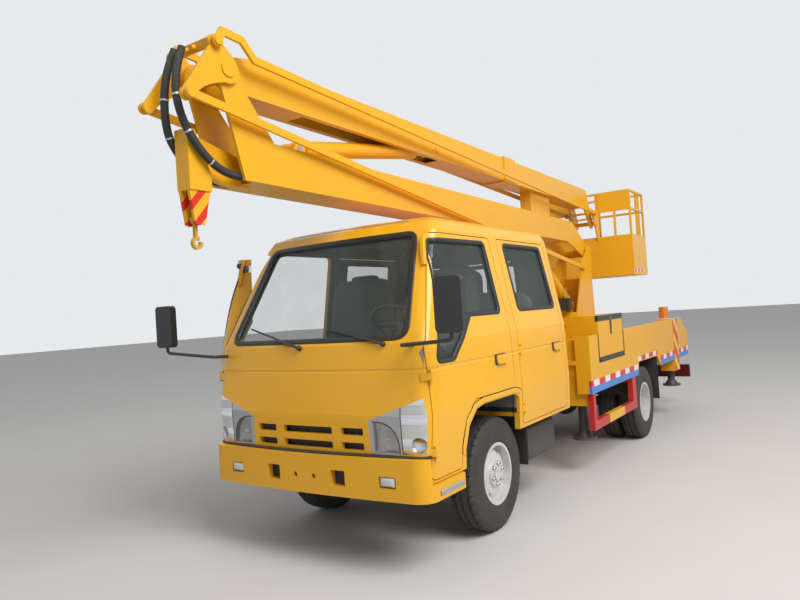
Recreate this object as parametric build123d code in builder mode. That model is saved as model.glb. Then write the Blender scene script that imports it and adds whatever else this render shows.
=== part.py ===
from build123d import *
import math
import os

os.makedirs("parts", exist_ok=True)

# A double-cab truck with a folding work-platform boom. Lengths are in millimetres.
# Sizes below are given on the truck itself: x to its left, y rearwards from the front
# axle, z up from the ground. The origin of the part is on the deck above the rear axle.
wheelbase = 3360
deck_top = 1000
front_axle_y = -wheelbase
ground_z = -deck_top


def level(z):
    """Flat plane at a height above the ground."""
    return Plane((0, front_axle_y, ground_z + z))


def side(x):
    """Upright plane across x: its u runs rearwards, its v upwards."""
    return Plane(origin=(x, front_axle_y, ground_z), x_dir=(0, 1, 0), z_dir=(1, 0, 0))


def cross(y):
    """Upright plane across y, facing forwards: its u runs to the left, its v upwards."""
    return Plane(origin=(0, front_axle_y + y, ground_z), x_dir=(1, 0, 0), z_dir=(0, -1, 0))


# Running gaps
door_gap = 6
pin_gap = 0.4
slide_gap = 0.4
side_play = 7
glass_seat = 0.3

# Wheels
tyre_r = 385
tyre_width = 196
rim_r = 205
front_track_half = 700
rear_track_half = 712
twin_spacing = 226
hub_r = 88
axle_z = tyre_r

# Chassis frame
rail_out = 350
rail_flange = 70
rail_wall = 8
rail_bottom = 500
rail_top = 700
rail_front = -930
rail_rear = 5540
member_depth = 60
member_tall = 60
member_rows = [-900, 800, 1500, 2620, 4260, 5470]
# columns: front, rear, top of the pads that carry the cab
cab_pad_rows = [(-900, -800, 890), (1080, 1180, 730)]
cab_pad_wide = 70

# Cab: sections from the sill to the roof
# columns: height, half width, front at the middle, how far the front bows, corner radius, rear
cab_rows = [
    (550, 860, -1004, 40, 95, 1235),
    (930, 876, -1016, 40, 95, 1235),
    (1345, 862, -985, 72, 105, 1235),
    (2030, 738, -602, 60, 75, 1235),
    (2092, 708, -560, 56, 70, 1222),
    (2128, 630, -470, 50, 70, 1150),
    (2146, 480, -320, 40, 70, 1000),
]
rear_corner = 45
cab_wall = 40
cab_floor_front = 930
cab_floor_rear = 770
cab_floor_step_y = 262
floor_plate = 40
floor_weld = 5
tunnel_half = 520
sill_bottom = 646
sill_inner = 850
wheel_recess = (420, 695)

# Door openings and windows, as corners of (y, z)
front_door_outline = [
    (-935, 565), (-605, 565), (-590, 720), (-520, 868), (-400, 950), (190, 950),
    (178, 2006), (-566, 2006), (-905, 1318),
]
rear_door_outline = [(300, 672), (1168, 672), (1168, 2006), (288, 2006)]
front_window = [
    (-822, 1225), (-628, 1225), (-440, 1392), (-345, 1482), (92, 1482), (78, 1966), (-598, 1956),
]
rear_window = [(410, 1488), (1098, 1488), (1062, 1966), (392, 1966)]
window_corner = 38
door_corner = 30
arch_rear = 246
arch_lean = 8
arch_outline = [
    (-560, 0), (-552, 660), (-500, 800), (-400, 888), (-300, 905), (170, 905), (arch_rear - arch_lean, 880),
    (arch_rear, 0),
]
arch_in = 500
windscreen = [(-716, 1385), (716, 1385), (606, 2008), (-606, 2008)]
rear_screen = [(-500, 1450), (500, 1450), (470, 1900), (-470, 1900)]
screen_corner = 60
glass_inset = 14
glass_wall = 5

# Front end
grille_half = 470
grille_bottom = 700
grille_top = 904
grille_wall = 30
# columns: middle x, width
grille_slot_rows = [(-350, 165), (0, 400), (350, 165)]
grille_slot_heights = [745, 832]
grille_slot_tall = 44
lamp_outline = [(476, 708), (874, 716), (880, 1050), (780, 1010), (476, 904)]
lamp_depth = 90
lamp_rear = -950
bumper_half = 880
bumper_bottom = 452
bumper_top = 694
bumper_front = -1062
bumper_rear = -965
bumper_wall = 45
bumper_corner = 110
tow_window_x = 262
tow_window_wide = 108
tow_window_tall = 92
tow_window_z = 562
plate_hole_x = 74
plate_hole_r = 16
plate_hole_z = 560
fog_x = 612
fog_wide = 116
fog_tall = 66
step_rear = -610
step_bottom = 440
step_top = 545
step_wall = 40

# Side mirrors
mirror_head = (50, 170, 300)
mirror_y = -1060
# columns: side, x of the head, middle height, x of the foot, height of the foot
mirror_rows = [(1, 1110, 1548, 775, 1330), (-1, -1262, 1525, -775, 1290)]
mirror_foot_y = -890
mirror_arm_r = 11

# Doors
hinge_in = 6
hinge_back = 20
right_door_open = 43
handle_rows = {"front": (-10, 1165), "rear": (1010, 1172)}
handle_size = (14, 150, 60)

# Deck with side walls and tool boxes
bed_half = 950
bed_front = 1560
bed_rear = 5560
bed_wall = 30
bed_bottom = 708
bed_wall_top = 1212
bed_tail_top = 1106
bed_tail_y = 5225
deck_plate = 40
bearer_tall = 60
wheel_cut = [(3050, 708), (3090, 842), (3880, 832), (4030, 708)]
box_front = 1835
box_rear = 2582
box_in = 655
box_top = 1376
box_wall = 25
lid_bottom = 968
lid_thick = 22
lid_gap = 5

# Beacons on posts through the deck
beacon_at = (715, 5347)
beacon_r = 60
beacon_tall = 165
beacon_drop = 15
beacon_post_r = 22

# Subframe with the turret's pedestal, outrigger boxes and boom rest
sub_out = 350
sub_wide = 90
sub_top = 860
turret_y = 3840
pedestal_half = 290
pedestal_top = 1240
ring_r = 325
ring_tall = 45
ring_gap = 0.5
turret_floor = 1335
housing_wide = 180
# columns: middle y, half length, outer face, housing bottom, housing top, foot bottom
outrigger_rows = {
    "front": (1690, 92, 900, 600, 1180, 300),
    "rear": (4850, 118, 956, 567, 1216, 372),
}
leg_r = 42
leg_in_housing = 470
foot_r = 105
foot_thick = 24
cross_box = 150
rest_y = 1420
rest_half = 150

# Boom geometry: pins in the truck's middle plane, as (y, z)
stow_slope = 1.0
pin_a = (4090, 2113)
pin_b = (-1633, 2892)
crank_down = (-281, -198)
crank_up = (-82, 126)
pin_t = (4472, 2500)
lower_half = 138
lower_plate = 20
lower_bottom = 96
lower_top = 341
lower_wall = 10
upper_half = 105
upper_bottom = -88
upper_top = 135
upper_wall = 8
upper_plate = 18
crank_in = lower_half + side_play
crank_thick = 18
crank_out = crank_in + crank_thick
turret_in = lower_half + side_play + 8
turret_plate = 20
turret_out = turret_in + turret_plate
rod_in = turret_out + 5
rod_thick = 18
rod_out = rod_in + rod_thick
rod_tall = 44
main_pin_r = 32
link_pin_r = 18

# Cylinders, pins as (y, z)
lift_foot = (3720, 1470)
lift_eye = (2560, 2172)
lift_barrel_r = 70
lift_rod_r = 38
lift_barrel_length = 1080
lift_rod_foot_gap = 116
lift_pin_r = 25
elbow_pin_r = 22
elbow_foot = (-985, 2590)
elbow_eye = (640, 2835)
elbow_barrel_r = 56
elbow_rod_r = 30
elbow_barrel_length = 1420
elbow_rod_foot_gap = 98
lift_rod_length = math.dist(lift_foot, lift_eye) - lift_rod_foot_gap
elbow_rod_length = math.dist(elbow_foot, elbow_eye) - elbow_rod_foot_gap

# Basket
basket_front = 4545
basket_rear = 5180
basket_half = 590
basket_bottom = 1806
basket_panel_top = 2322
basket_rail = 2892
panel_wall = 6
console_in = 175
console_bottom = 2648

# Hook
hook_box_half = 52
hook_box_front = -1838
hook_box_bottom = 2236
hook_box_top = 2560
hook_pin = (-1780, 2085)


def put(point):
    """A pin's place in the stored frame, in the truck's middle plane."""
    return Vector(0, front_axle_y + point[0], ground_z + point[1])


def boom_plane(pin, forward):
    """Plane of a stowed boom: its u runs along the boom from the pin, its v upwards."""
    slope = math.radians(stow_slope)
    along = (0, -math.cos(slope), math.sin(slope))
    if not forward:
        along = (0, math.cos(slope), -math.sin(slope))
    return Plane(origin=put(pin), x_dir=along, z_dir=(-1 if forward else 1, 0, 0))


def block(across, along, up):
    """A plain block between limits given on the truck."""
    with BuildPart() as solid:
        with BuildSketch(level(up[0])):
            with Locations(((across[0] + across[1]) / 2, (along[0] + along[1]) / 2)):
                Rectangle(abs(across[1] - across[0]), abs(along[1] - along[0]))
        extrude(amount=up[1] - up[0])
    return solid.part


def web(plane, outline, near, far, eyes=(), bores=()):
    """A plate between two distances from a plane, with round eyes and bores as (centre, radius)."""
    with BuildPart() as solid:
        with BuildSketch(plane.offset(near)):
            with BuildLine():
                Polyline(*outline, close=True)
            make_face()
            for centre, radius in eyes:
                with Locations(centre):
                    Circle(radius)
            for centre, radius in bores:
                with Locations(centre):
                    Circle(radius, mode=Mode.SUBTRACT)
        extrude(amount=far - near)
    return solid.part


def shaft(centre, radius, near, far):
    """A round bar across the truck between two x, round a pin's place."""
    with BuildPart() as solid:
        with BuildSketch(side(near)):
            with Locations(centre):
                Circle(radius)
        extrude(amount=far - near)
    return solid.part


def plus(point, shift):
    return (point[0] + shift[0], point[1] + shift[1])


pin_c = plus(pin_b, crank_down)
pin_d = plus(pin_a, crank_down)
pin_e = plus(pin_b, crank_up)
pin_g = plus(pin_t, crank_up)


def cab_form(inset):
    """The cab's outside as a solid, or a form that lies the inset inside it."""
    with BuildPart() as form:
        for height, half, front, bow, corner, rear in cab_rows:
            roof_drop = inset if height > cab_rows[3][0] else 0
            with BuildSketch(level(height - roof_drop)) as outline:
                edge = half - inset
                back = rear - inset
                nose = front + inset
                with BuildLine():
                    Polyline((edge, nose + bow), (edge, back), (-edge, back), (-edge, nose + bow))
                    ThreePointArc((-edge, nose + bow), (0, nose), (edge, nose + bow))
                make_face()
                corners = outline.vertices().group_by(Axis.Y)
                fillet(corners[0], max(corner - inset, 12))
                fillet(corners[-1], max(rear_corner - inset, 4))
        loft(ruled=True)
    return form.part


def side_prism(outline, grow, near, far, round_by):
    """A rounded opening across the left side, grown or shrunk by a gap."""
    with BuildPart() as prism:
        with BuildSketch(side(near)) as opening:
            with BuildLine():
                Polyline(*outline, close=True)
            make_face()
            fillet(opening.vertices(), round_by)
            if grow:
                offset(amount=grow, kind=Kind.INTERSECTION, mode=Mode.REPLACE)
        extrude(amount=far - near)
    return prism.part


def front_prism(outline, grow, near, far, round_by):
    """A rounded opening across the cab's front or back, grown or shrunk by a gap."""
    with BuildPart() as prism:
        with BuildSketch(cross(near)) as opening:
            with BuildLine():
                Polyline(*outline, close=True)
            make_face()
            fillet(opening.vertices(), round_by)
            if grow:
                offset(amount=grow, kind=Kind.INTERSECTION, mode=Mode.REPLACE)
        extrude(amount=near - far)
    return prism.part


side_near = 640
side_far = 1000
hinge_x = max(row[1] for row in cab_rows)
# columns: y of a door's hinge, radius swept by the door's edge
hinge_rows = [(front_door_outline[0][0] + hinge_back, 84), (rear_door_outline[0][0] + hinge_back, 64)]
half_gap = door_gap / 2
front_far = -1200
cab_outer = cab_form(0)
cab_inner = cab_form(cab_wall)
pane_outer = cab_form(glass_inset)
pane_inner = cab_form(glass_inset + glass_wall)

with BuildPart() as cab_floors:
    with BuildSketch(side(0)):
        with BuildLine():
            Polyline(
                (cab_rows[0][2] - 50, cab_floor_front),
                (cab_floor_step_y + floor_plate, cab_floor_front),
                (cab_floor_step_y + floor_plate, cab_floor_rear),
                (cab_rows[0][5], cab_floor_rear),
                (cab_rows[0][5], cab_floor_rear - floor_plate),
                (cab_floor_step_y, cab_floor_rear - floor_plate),
                (cab_floor_step_y, cab_floor_front - floor_plate),
                (cab_rows[0][2] - 50, cab_floor_front - floor_plate),
                close=True,
            )
        make_face()
    extrude(amount=side_far, both=True)
    add(cab_form(cab_wall - floor_weld), mode=Mode.INTERSECT)
    with BuildSketch(level(0)):
        for hinge_y, swept in hinge_rows:
            with Locations((hinge_x, hinge_y), (-hinge_x, hinge_y)):
                Circle(swept)
    extrude(amount=cab_floor_front + 1, mode=Mode.SUBTRACT)

# columns: y of the hinge, pillar point it is fixed at (x, y), heights
hinge_straps = [
    (front_door_outline[0][0] + hinge_back, (826, front_door_outline[0][0] - 5), (700, 1130)),
    (rear_door_outline[0][0] + hinge_back, (860, rear_door_outline[0][0] - 12), (760, 1180)),
]
strap_tall = 44
strap_r = 9
strap_gap = 1
knuckle_tall = 14
cab_rear = cab_rows[0][5] + 50
doorway_depth = cab_form(cab_wall + door_gap)
grille_region = front_prism(
    [(-grille_half, grille_bottom), (grille_half, grille_bottom), (grille_half, grille_top),
     (-grille_half, grille_top)], 0, lamp_rear, front_far, 6)
lamp_region = front_prism(lamp_outline, 0, lamp_rear, front_far, 14)

with BuildPart() as cab:
    add(cab_outer)
    add(cab_inner, mode=Mode.SUBTRACT)
    add(cab_floors.part)
    add(grille_region, mode=Mode.SUBTRACT)
    add(lamp_region, mode=Mode.SUBTRACT)
    add(mirror(lamp_region, about=Plane.YZ), mode=Mode.SUBTRACT)
    arch = side_prism(arch_outline, 0, arch_in, side_far, 20)
    add(arch, mode=Mode.SUBTRACT)
    add(mirror(arch, about=Plane.YZ), mode=Mode.SUBTRACT)
    for outline in (front_door_outline, rear_door_outline):
        opening = side_prism(outline, half_gap, side_near, side_far, door_corner) - doorway_depth
        add(opening, mode=Mode.SUBTRACT)
        add(mirror(opening, about=Plane.YZ), mode=Mode.SUBTRACT)
    add(front_prism(windscreen, 0, -300, front_far, screen_corner), mode=Mode.SUBTRACT)
    add(front_prism(rear_screen, 0, cab_rear, 1000, screen_corner), mode=Mode.SUBTRACT)
    add(block((-side_far, side_far), (arch_rear - arch_lean, cab_rear), (0, sill_bottom)), mode=Mode.SUBTRACT)
    add(block((-sill_inner, sill_inner), (arch_rear, wheel_recess[0]), (0, wheel_recess[1])), mode=Mode.SUBTRACT)
    tunnel_top = cab_floor_rear - floor_plate
    add(block((-tunnel_half, tunnel_half), (arch_rear, cab_rear), (0, tunnel_top)), mode=Mode.SUBTRACT)
    for hinge_y, pillar, heights in hinge_straps:
        for low in heights:
            for hand in (1, -1):
                with BuildSketch(level(low)):
                    with Locations((hand * pillar[0], pillar[1]), (hand * hinge_x, hinge_y)):
                        Circle(strap_r)
                    make_hull()
                extrude(amount=strap_tall)
cab.part.label = "cab_shell"
export_step(cab.part, "parts/cab_shell.step")

with BuildPart() as grille:
    add(cab_outer)
    add(cab_form(grille_wall), mode=Mode.SUBTRACT)
    add(grille_region, mode=Mode.INTERSECT)
    with BuildSketch(cross(lamp_rear)):
        for middle, width in grille_slot_rows:
            with Locations(*[(middle, height) for height in grille_slot_heights]):
                RectangleRounded(width, grille_slot_tall, 8)
    extrude(amount=lamp_rear - front_far, mode=Mode.SUBTRACT)
grille.part.label = "grille"
export_step(grille.part, "parts/grille.step")

with BuildPart() as headlamps:
    add(cab_outer)
    add(cab_form(lamp_depth), mode=Mode.SUBTRACT)
    add(lamp_region, mode=Mode.INTERSECT)
    mirror(about=Plane.YZ)
headlamps.part.label = "headlamps"
export_step(headlamps.part, "parts/headlamps.step")

with BuildPart() as screens:
    add(pane_outer)
    add(pane_inner, mode=Mode.SUBTRACT)
    front_pane = front_prism(windscreen, -glass_seat, -300, front_far, screen_corner)
    rear_pane = front_prism(rear_screen, -glass_seat, cab_rear, 1000, screen_corner)
    add(front_pane + rear_pane, mode=Mode.INTERSECT)
screens.part.label = "cab_glass"
export_step(screens.part, "parts/cab_glass.step")


door_front_room = block((0, hinge_x - 76), (cab_rows[0][2], -880), (0, 1350))


def door_and_pane(outline, window):
    """A left-hand door, its window cut, and the pane that closes the window."""
    with BuildPart() as door:
        add(cab_outer)
        add(cab_inner, mode=Mode.SUBTRACT)
        add(side_prism(outline, -half_gap, side_near, side_far, door_corner), mode=Mode.INTERSECT)
        add(door_front_room, mode=Mode.SUBTRACT)
        add(side_prism(window, 0, side_near, side_far, window_corner), mode=Mode.SUBTRACT)
    with BuildPart() as pane:
        add(pane_outer)
        add(pane_inner, mode=Mode.SUBTRACT)
        add(side_prism(window, -glass_seat, side_near, side_far, window_corner), mode=Mode.INTERSECT)
    return door.part, pane.part


door_rows = {
    "front": (front_door_outline, front_window),
    "rear": (rear_door_outline, rear_window),
}
for place, (outline, window) in door_rows.items():
    door, pane = door_and_pane(outline, window)
    handle_y, handle_z = handle_rows[place]
    hinge_y = outline[0][0] + hinge_back
    hinge_heights = next(heights for strap_y, pillar, heights in hinge_straps if strap_y == hinge_y)
    with BuildPart() as handled:
        add(door)
        for strap_y, pillar, heights in hinge_straps:
            for low in heights:
                add(block((hinge_x - 100, hinge_x + 50), (strap_y - 60, strap_y + strap_r + strap_gap),
                          (low - strap_gap, low + strap_tall + strap_gap)), mode=Mode.SUBTRACT)
        for low in hinge_heights:
            for foot in (low - strap_gap - knuckle_tall, low + strap_tall + strap_gap):
                with BuildSketch(level(foot)):
                    with Locations((hinge_x, hinge_y), (hinge_x - cab_wall, hinge_y + 2 * strap_r)):
                        Circle(strap_r)
                    make_hull()
                extrude(amount=knuckle_tall)
        with BuildSketch(side(hinge_x - cab_wall / 2)):
            with Locations((handle_y, handle_z)):
                RectangleRounded(handle_size[1], handle_size[2], 20)
        extrude(amount=cab_wall / 2 + handle_size[0])
    pieces = {"door": handled.part, "glass": pane}
    for kind, piece in pieces.items():
        left = piece
        left.label = f"{place}_left_{kind}"
        export_step(left, f"parts/{place}_left_{kind}.step")
        right = mirror(piece, about=Plane.YZ)
        if place == "front":
            hinge = Axis((-hinge_x, front_axle_y + hinge_y, 0), (0, 0, 1))
            right = right.rotate(hinge, right_door_open)
        right.label = f"{place}_right_{kind}"
        export_step(right, f"parts/{place}_right_{kind}.step")

with BuildPart() as bumper:
    with BuildSketch(level(bumper_bottom)) as plan:
        with BuildLine():
            Polyline((bumper_half, step_rear), (bumper_half, bumper_front + 40))
            ThreePointArc((bumper_half, bumper_front + 40), (0, bumper_front), (-bumper_half, bumper_front + 40))
            Polyline((-bumper_half, bumper_front + 40), (-bumper_half, step_rear), (bumper_half, step_rear))
        make_face()
        fillet(plan.vertices().group_by(Axis.Y)[0], bumper_corner)
        offset(amount=-bumper_wall, mode=Mode.SUBTRACT, kind=Kind.INTERSECTION)
        with Locations((0, step_rear)):
            Rectangle(2 * (bumper_half - bumper_wall), 2 * bumper_wall + 2, mode=Mode.SUBTRACT)
    extrude(amount=bumper_top - bumper_bottom)
    with BuildSketch(side(0)):
        with Locations((bumper_rear + 400, bumper_top)):
            Rectangle(800, 2 * (bumper_top - step_top))
    extrude(amount=side_far, both=True, mode=Mode.SUBTRACT)
    with BuildSketch(cross(0)):
        for hand in (1, -1):
            with Locations((hand * tow_window_x, tow_window_z)):
                RectangleRounded(tow_window_wide, tow_window_tall, 8)
            with Locations((hand * plate_hole_x, plate_hole_z)):
                Circle(plate_hole_r)
            with Locations((hand * fog_x, plate_hole_z)):
                RectangleRounded(fog_wide, fog_tall, 10)
    extrude(amount=-front_far, mode=Mode.SUBTRACT)
bumper.part.label = "bumper"
export_step(bumper.part, "parts/bumper.step")

with BuildPart() as mirrors:
    for hand, head_x, head_z, foot_x, foot_z in mirror_rows:
        with BuildPart(Plane((head_x, front_axle_y + mirror_y, ground_z + head_z)), mode=Mode.PRIVATE) as head:
            Box(mirror_head[1], mirror_head[0], mirror_head[2])
            fillet(head.edges().filter_by(Axis.Y), 30)
        add(head.part)
        foot = Vector(hand * abs(foot_x), front_axle_y + mirror_foot_y, ground_z + foot_z)
        low = Vector(head_x, front_axle_y + mirror_y, ground_z + head_z - mirror_head[2] / 2 - 40)
        bend = Vector(hand * abs(foot_x), front_axle_y + mirror_y, ground_z + foot_z + 10)
        up = Vector(head_x, front_axle_y + mirror_y, ground_z + head_z - mirror_head[2] / 2 + 5)
        with BuildLine() as arm:
            FilletPolyline(foot, bend, low, up, radius=30)
        with BuildSketch(Plane(origin=foot, z_dir=bend - foot)):
            Circle(mirror_arm_r)
        sweep(path=arm.wires()[0])
    add(cab_form(-glass_seat), mode=Mode.SUBTRACT)
mirrors.part.label = "mirrors"
export_step(mirrors.part, "parts/mirrors.step")

# Cab inside: dashboard with the steering wheel, and seats
dash_front = -930
dash_half = hinge_x - 90
dash_outline = [
    (dash_front, 1340), (-620, 1300), (-560, 1220), (-600, 1080), (dash_front, 1060),
]
steering_at = (400, -470, 1440)
steering_tilt = 50
steering_r = 200
steering_tube = 14
column_r = 28
column_length = 400
with BuildPart() as dashboard:
    add(web(side(0), dash_outline, -dash_half, dash_half))
    add(cab_form(cab_wall + glass_seat), mode=Mode.INTERSECT)
    with BuildSketch(level(dash_outline[-1][1] - 10)):
        hinge_y, swept = hinge_rows[0]
        with Locations((hinge_x, hinge_y), (-hinge_x, hinge_y)):
            Circle(swept + 10)
    extrude(amount=2 * dash_half, mode=Mode.SUBTRACT)
    fall = math.radians(steering_tilt)
    hub = Vector(steering_at[0], front_axle_y + steering_at[1], ground_z + steering_at[2])
    wheel_plane = Plane(origin=hub, x_dir=(1, 0, 0), z_dir=(0, -math.cos(fall), -math.sin(fall)))
    with Locations(wheel_plane):
        Cylinder(column_r, column_length, align=(Align.CENTER, Align.CENTER, Align.MIN))
        Box(2 * steering_r, 3 * steering_tube, steering_tube)
        Torus(steering_r, steering_tube)
dashboard.part.label = "dashboard"
export_step(dashboard.part, "parts/dashboard.step")

# columns: middle x, width, front of the cushion, height of the floor
seat_rows = [
    (-400, 600, -330, cab_floor_front),
    (430, 500, -330, cab_floor_front),
    (0, 1360, 560, cab_floor_rear),
]
seat_profile = [(0, 0.3), (0, 330), (60, 360), (400, 330), (500, 880), (600, 880), (520, 200), (480, 0.3)]
with BuildPart() as seats:
    for middle, width, start, floor in seat_rows:
        outline = [(start + along, floor + up) for along, up in seat_profile]
        add(web(side(middle), outline, -width / 2, width / 2))
seats.part.label = "seats"
export_step(seats.part, "parts/seats.step")

# Chassis frame: two channels with cross members, and the pads that carry the cab
with BuildPart() as frame:
    for hand in (1, -1):
        outer, inner = hand * rail_out, hand * (rail_out - rail_flange)
        wall = hand * (rail_out - rail_wall)
        with BuildSketch(cross(rail_front)):
            with BuildLine():
                Polyline(
                    (outer, rail_bottom), (outer, rail_top), (inner, rail_top), (inner, rail_top - rail_wall),
                    (wall, rail_top - rail_wall), (wall, rail_bottom + rail_wall),
                    (inner, rail_bottom + rail_wall), (inner, rail_bottom), close=True)
            make_face()
        extrude(amount=rail_front - rail_rear)
    for member_y in member_rows:
        half = rail_out - rail_wall
        ends = (member_y - member_depth / 2, member_y + member_depth / 2)
        add(block((-half, half), ends, (rail_top - rail_wall - member_tall, rail_top - rail_wall)))
frame.part.label = "chassis_frame"
export_step(frame.part, "parts/chassis_frame.step")

with BuildPart() as cab_mounts:
    for start, end, top in cab_pad_rows:
        add(block((rail_out - cab_pad_wide, rail_out), (start, end), (rail_top, top)))
    mirror(about=Plane.YZ)
cab_mounts.part.label = "cab_mounts"
export_step(cab_mounts.part, "parts/cab_mounts.step")

# Axles with their leaf springs
kingpin_x = 600
kingpin_r = 17
kingpin_half = 85
boss_r = 38
boss_half = 45
beam_drop = 20
beam_z = axle_z - beam_drop
spring_x = 315
spring_wide = 64
spring_thick = 48
spring_eye_r = 20
spring_eye_z = 470
shackle_wide = 36
seat_half = 110
pad_sink = 6
# columns: middle y, length of the spring, height of its seat
spring_rows = {"front": (0, 1180, beam_z + 65), "rear": (wheelbase, 1250, axle_z + 56)}


def leaf_springs(middle_y, length, seat_z):
    """A pair of bowed leaf springs with their eyes and the shackles up to the rails."""
    low = seat_z
    high = seat_z + spring_thick
    rise = spring_thick / 3
    with BuildPart() as springs:
        for hand in (1, -1):
            for_eye = [(middle_y - length / 2, spring_eye_z), (middle_y + length / 2, spring_eye_z)]
            with BuildSketch(side(hand * spring_x)):
                with BuildLine():
                    ThreePointArc(for_eye[0], (middle_y, low), for_eye[1])
                    Polyline(
                        for_eye[1], plus(for_eye[1], (0, rise)), (middle_y + seat_half, high),
                        (middle_y - seat_half, high), plus(for_eye[0], (0, rise)), for_eye[0])
                make_face()
                with Locations(*for_eye):
                    Circle(spring_eye_r)
                for eye in for_eye:
                    with Locations((eye[0], (spring_eye_z + rail_bottom) / 2)):
                        Rectangle(shackle_wide, rail_bottom - spring_eye_z)
            extrude(amount=spring_wide / 2, both=True)
    return springs.part


with BuildPart() as front_axle:
    with BuildSketch(side(0)):
        with Locations((0, beam_z)):
            Rectangle(60, 70)
            Rectangle(60, 40, mode=Mode.SUBTRACT)
            Rectangle(22, 70)
    extrude(amount=kingpin_x - 60, both=True)
    middle_y, length, seat_z = spring_rows["front"]
    for hand in (1, -1):
        add(block((hand * (kingpin_x - 100), hand * kingpin_x), (-30, 30), (beam_z - 35, beam_z + 35)))
        add(block((hand * (spring_x - 40), hand * (spring_x + 40)), (-65, 65), (beam_z, seat_z + pad_sink)))
        with BuildSketch(level(beam_z - boss_half)):
            with Locations((hand * kingpin_x, 0)):
                Circle(boss_r)
        extrude(amount=2 * boss_half)
        with BuildSketch(level(beam_z - kingpin_half)):
            with Locations((hand * kingpin_x, 0)):
                Circle(kingpin_r)
        extrude(amount=2 * kingpin_half)
    add(leaf_springs(middle_y, length, seat_z))
front_axle.part.label = "front_axle"
export_step(front_axle.part, "parts/front_axle.step")

axle_tube_r = 52
spindle_r = 32
axle_ball_r = 165
pinion_r = 50
pinion_z = 415
pinion_front = wheelbase - 230
hub_out = 130
hub_cap_gap = 12
with BuildPart() as rear_axle:
    middle_y, length, seat_z = spring_rows["rear"]
    add(shaft((wheelbase, axle_z), axle_tube_r, -(rear_track_half - 240), rear_track_half - 240))
    spindle_end = rear_track_half + hub_out - hub_cap_gap
    add(shaft((wheelbase, axle_z), spindle_r, -spindle_end, spindle_end))
    with Locations(put((wheelbase, axle_z))):
        Sphere(axle_ball_r)
    with BuildSketch(cross(pinion_front)):
        with Locations((0, pinion_z)):
            Circle(pinion_r)
    extrude(amount=pinion_front - wheelbase)
    for hand in (1, -1):
        pad = (hand * (spring_x - 40), hand * (spring_x + 40))
        add(block(pad, (wheelbase - 65, wheelbase + 65), (axle_z, seat_z + pad_sink)))
    add(leaf_springs(middle_y, length, seat_z))
rear_axle.part.label = "rear_axle"
export_step(rear_axle.part, "parts/rear_axle.step")

# Engine with its gearbox and propeller shaft
engine_half = 230
gearbox_half = 170
engine_outline = [(-760, 520), (-760, 860), (100, 860), (100, 470), (-700, 470)]
gearbox_outline = [(100, 470), (100, 730), (700, 680), (700, 500), (160, 470)]
shaft_r = 36
shaft_start = (700, 590)
engine = web(side(0), engine_outline, -engine_half, engine_half)
engine.label = "engine"
export_step(engine, "parts/engine.step")
with BuildPart() as driveline:
    add(web(side(0), gearbox_outline, -gearbox_half, gearbox_half))
    drop = Vector(0, pinion_front - shaft_start[0], pinion_z - shaft_start[1])
    with BuildSketch(cross(shaft_start[0])):
        with Locations((0, shaft_start[1])):
            Circle(shaft_r)
    extrude(amount=drop.length, dir=tuple(drop.normalized()))
driveline.part.label = "driveline"
export_step(driveline.part, "parts/driveline.step")

# Fuel tank on the right and battery box on the left, hung from the rails
# columns: side, front, rear, inner x, outer x, bottom, top
tank_rows = [(1, 560, 1090, 370, 770, 330, 600), (-1, 460, 1340, 370, 800, 330, 630)]
tank_corner = 40
strap_in = 90
strap_wide = 50
with BuildPart() as side_tanks:
    for hand, start, end, near, far, low, high in tank_rows:
        with BuildSketch(cross(start)):
            with Locations((hand * (near + far) / 2, (low + high) / 2)):
                RectangleRounded(far - near, high - low, tank_corner)
        extrude(amount=start - end)
        for strap in (start + strap_in, end - strap_in):
            ends = (strap - strap_wide / 2, strap + strap_wide / 2)
            add(block((hand * rail_out, hand * (near + strap_wide)), ends, (rail_bottom + 20, rail_bottom + 80)))
side_tanks.part.label = "side_tanks"
export_step(side_tanks.part, "parts/side_tanks.step")

# Steering knuckles
knuckle_wide = 72
knuckle_back = 26
knuckle_thick = 40
ear_tall = 36
with BuildPart() as knuckle:
    with BuildSketch(cross(knuckle_wide / 2)):
        with Locations((kingpin_x + knuckle_back, beam_z)):
            Rectangle(knuckle_thick, 2 * kingpin_half)
        for end in (-1, 1):
            with Locations((kingpin_x, beam_z + end * (kingpin_half - ear_tall / 2))):
                Rectangle(knuckle_wide, ear_tall)
    extrude(amount=knuckle_wide)
    add(shaft((0, axle_z), spindle_r, kingpin_x + knuckle_back, front_track_half + 50))
    with BuildSketch(level(0)):
        with Locations((kingpin_x, 0)):
            Circle(kingpin_r + pin_gap)
    extrude(amount=2 * axle_z, mode=Mode.SUBTRACT)
    with BuildSketch(level(beam_z - boss_half - slide_gap)):
        with Locations((kingpin_x, 0)):
            Circle(boss_r + side_play)
    extrude(amount=2 * (boss_half + slide_gap), mode=Mode.SUBTRACT)
for hand in ("left", "right"):
    piece = knuckle.part if hand == "left" else mirror(knuckle.part, about=Plane.YZ)
    piece.label = f"{hand}_knuckle"
    export_step(piece, f"parts/{hand}_knuckle.step")

# Wheels: tyres, and pressed rims with their discs, drums and hubs
bead = 16
rim_lip = 9
rim_rise = 4
rim_well = 16
rim_wall = 6
disc_thick = 10
disc_flat_r = 122
dish = 38
hand_hole_ring = 155
hand_hole_size = (52, 30)
hand_hole_count = 6
drum_r = 150
# columns: offset of the tyre's middle, where its disc is bolted, and which way it dishes
wheel_rows = {
    "front": (0, front_track_half, [(0, 58, 1)], (-36, 54), (-10, 80), (68, 92)),
    "rear": (wheelbase, rear_track_half,
             [(-twin_spacing / 2, twin_spacing / 2 - disc_thick / 2, 1),
              (twin_spacing / 2, disc_thick / 2 - twin_spacing / 2, -1)],
             (-100, -2), (-60, hub_out - 2), (hub_out - 8, hub_out + 6)),
}


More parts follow.
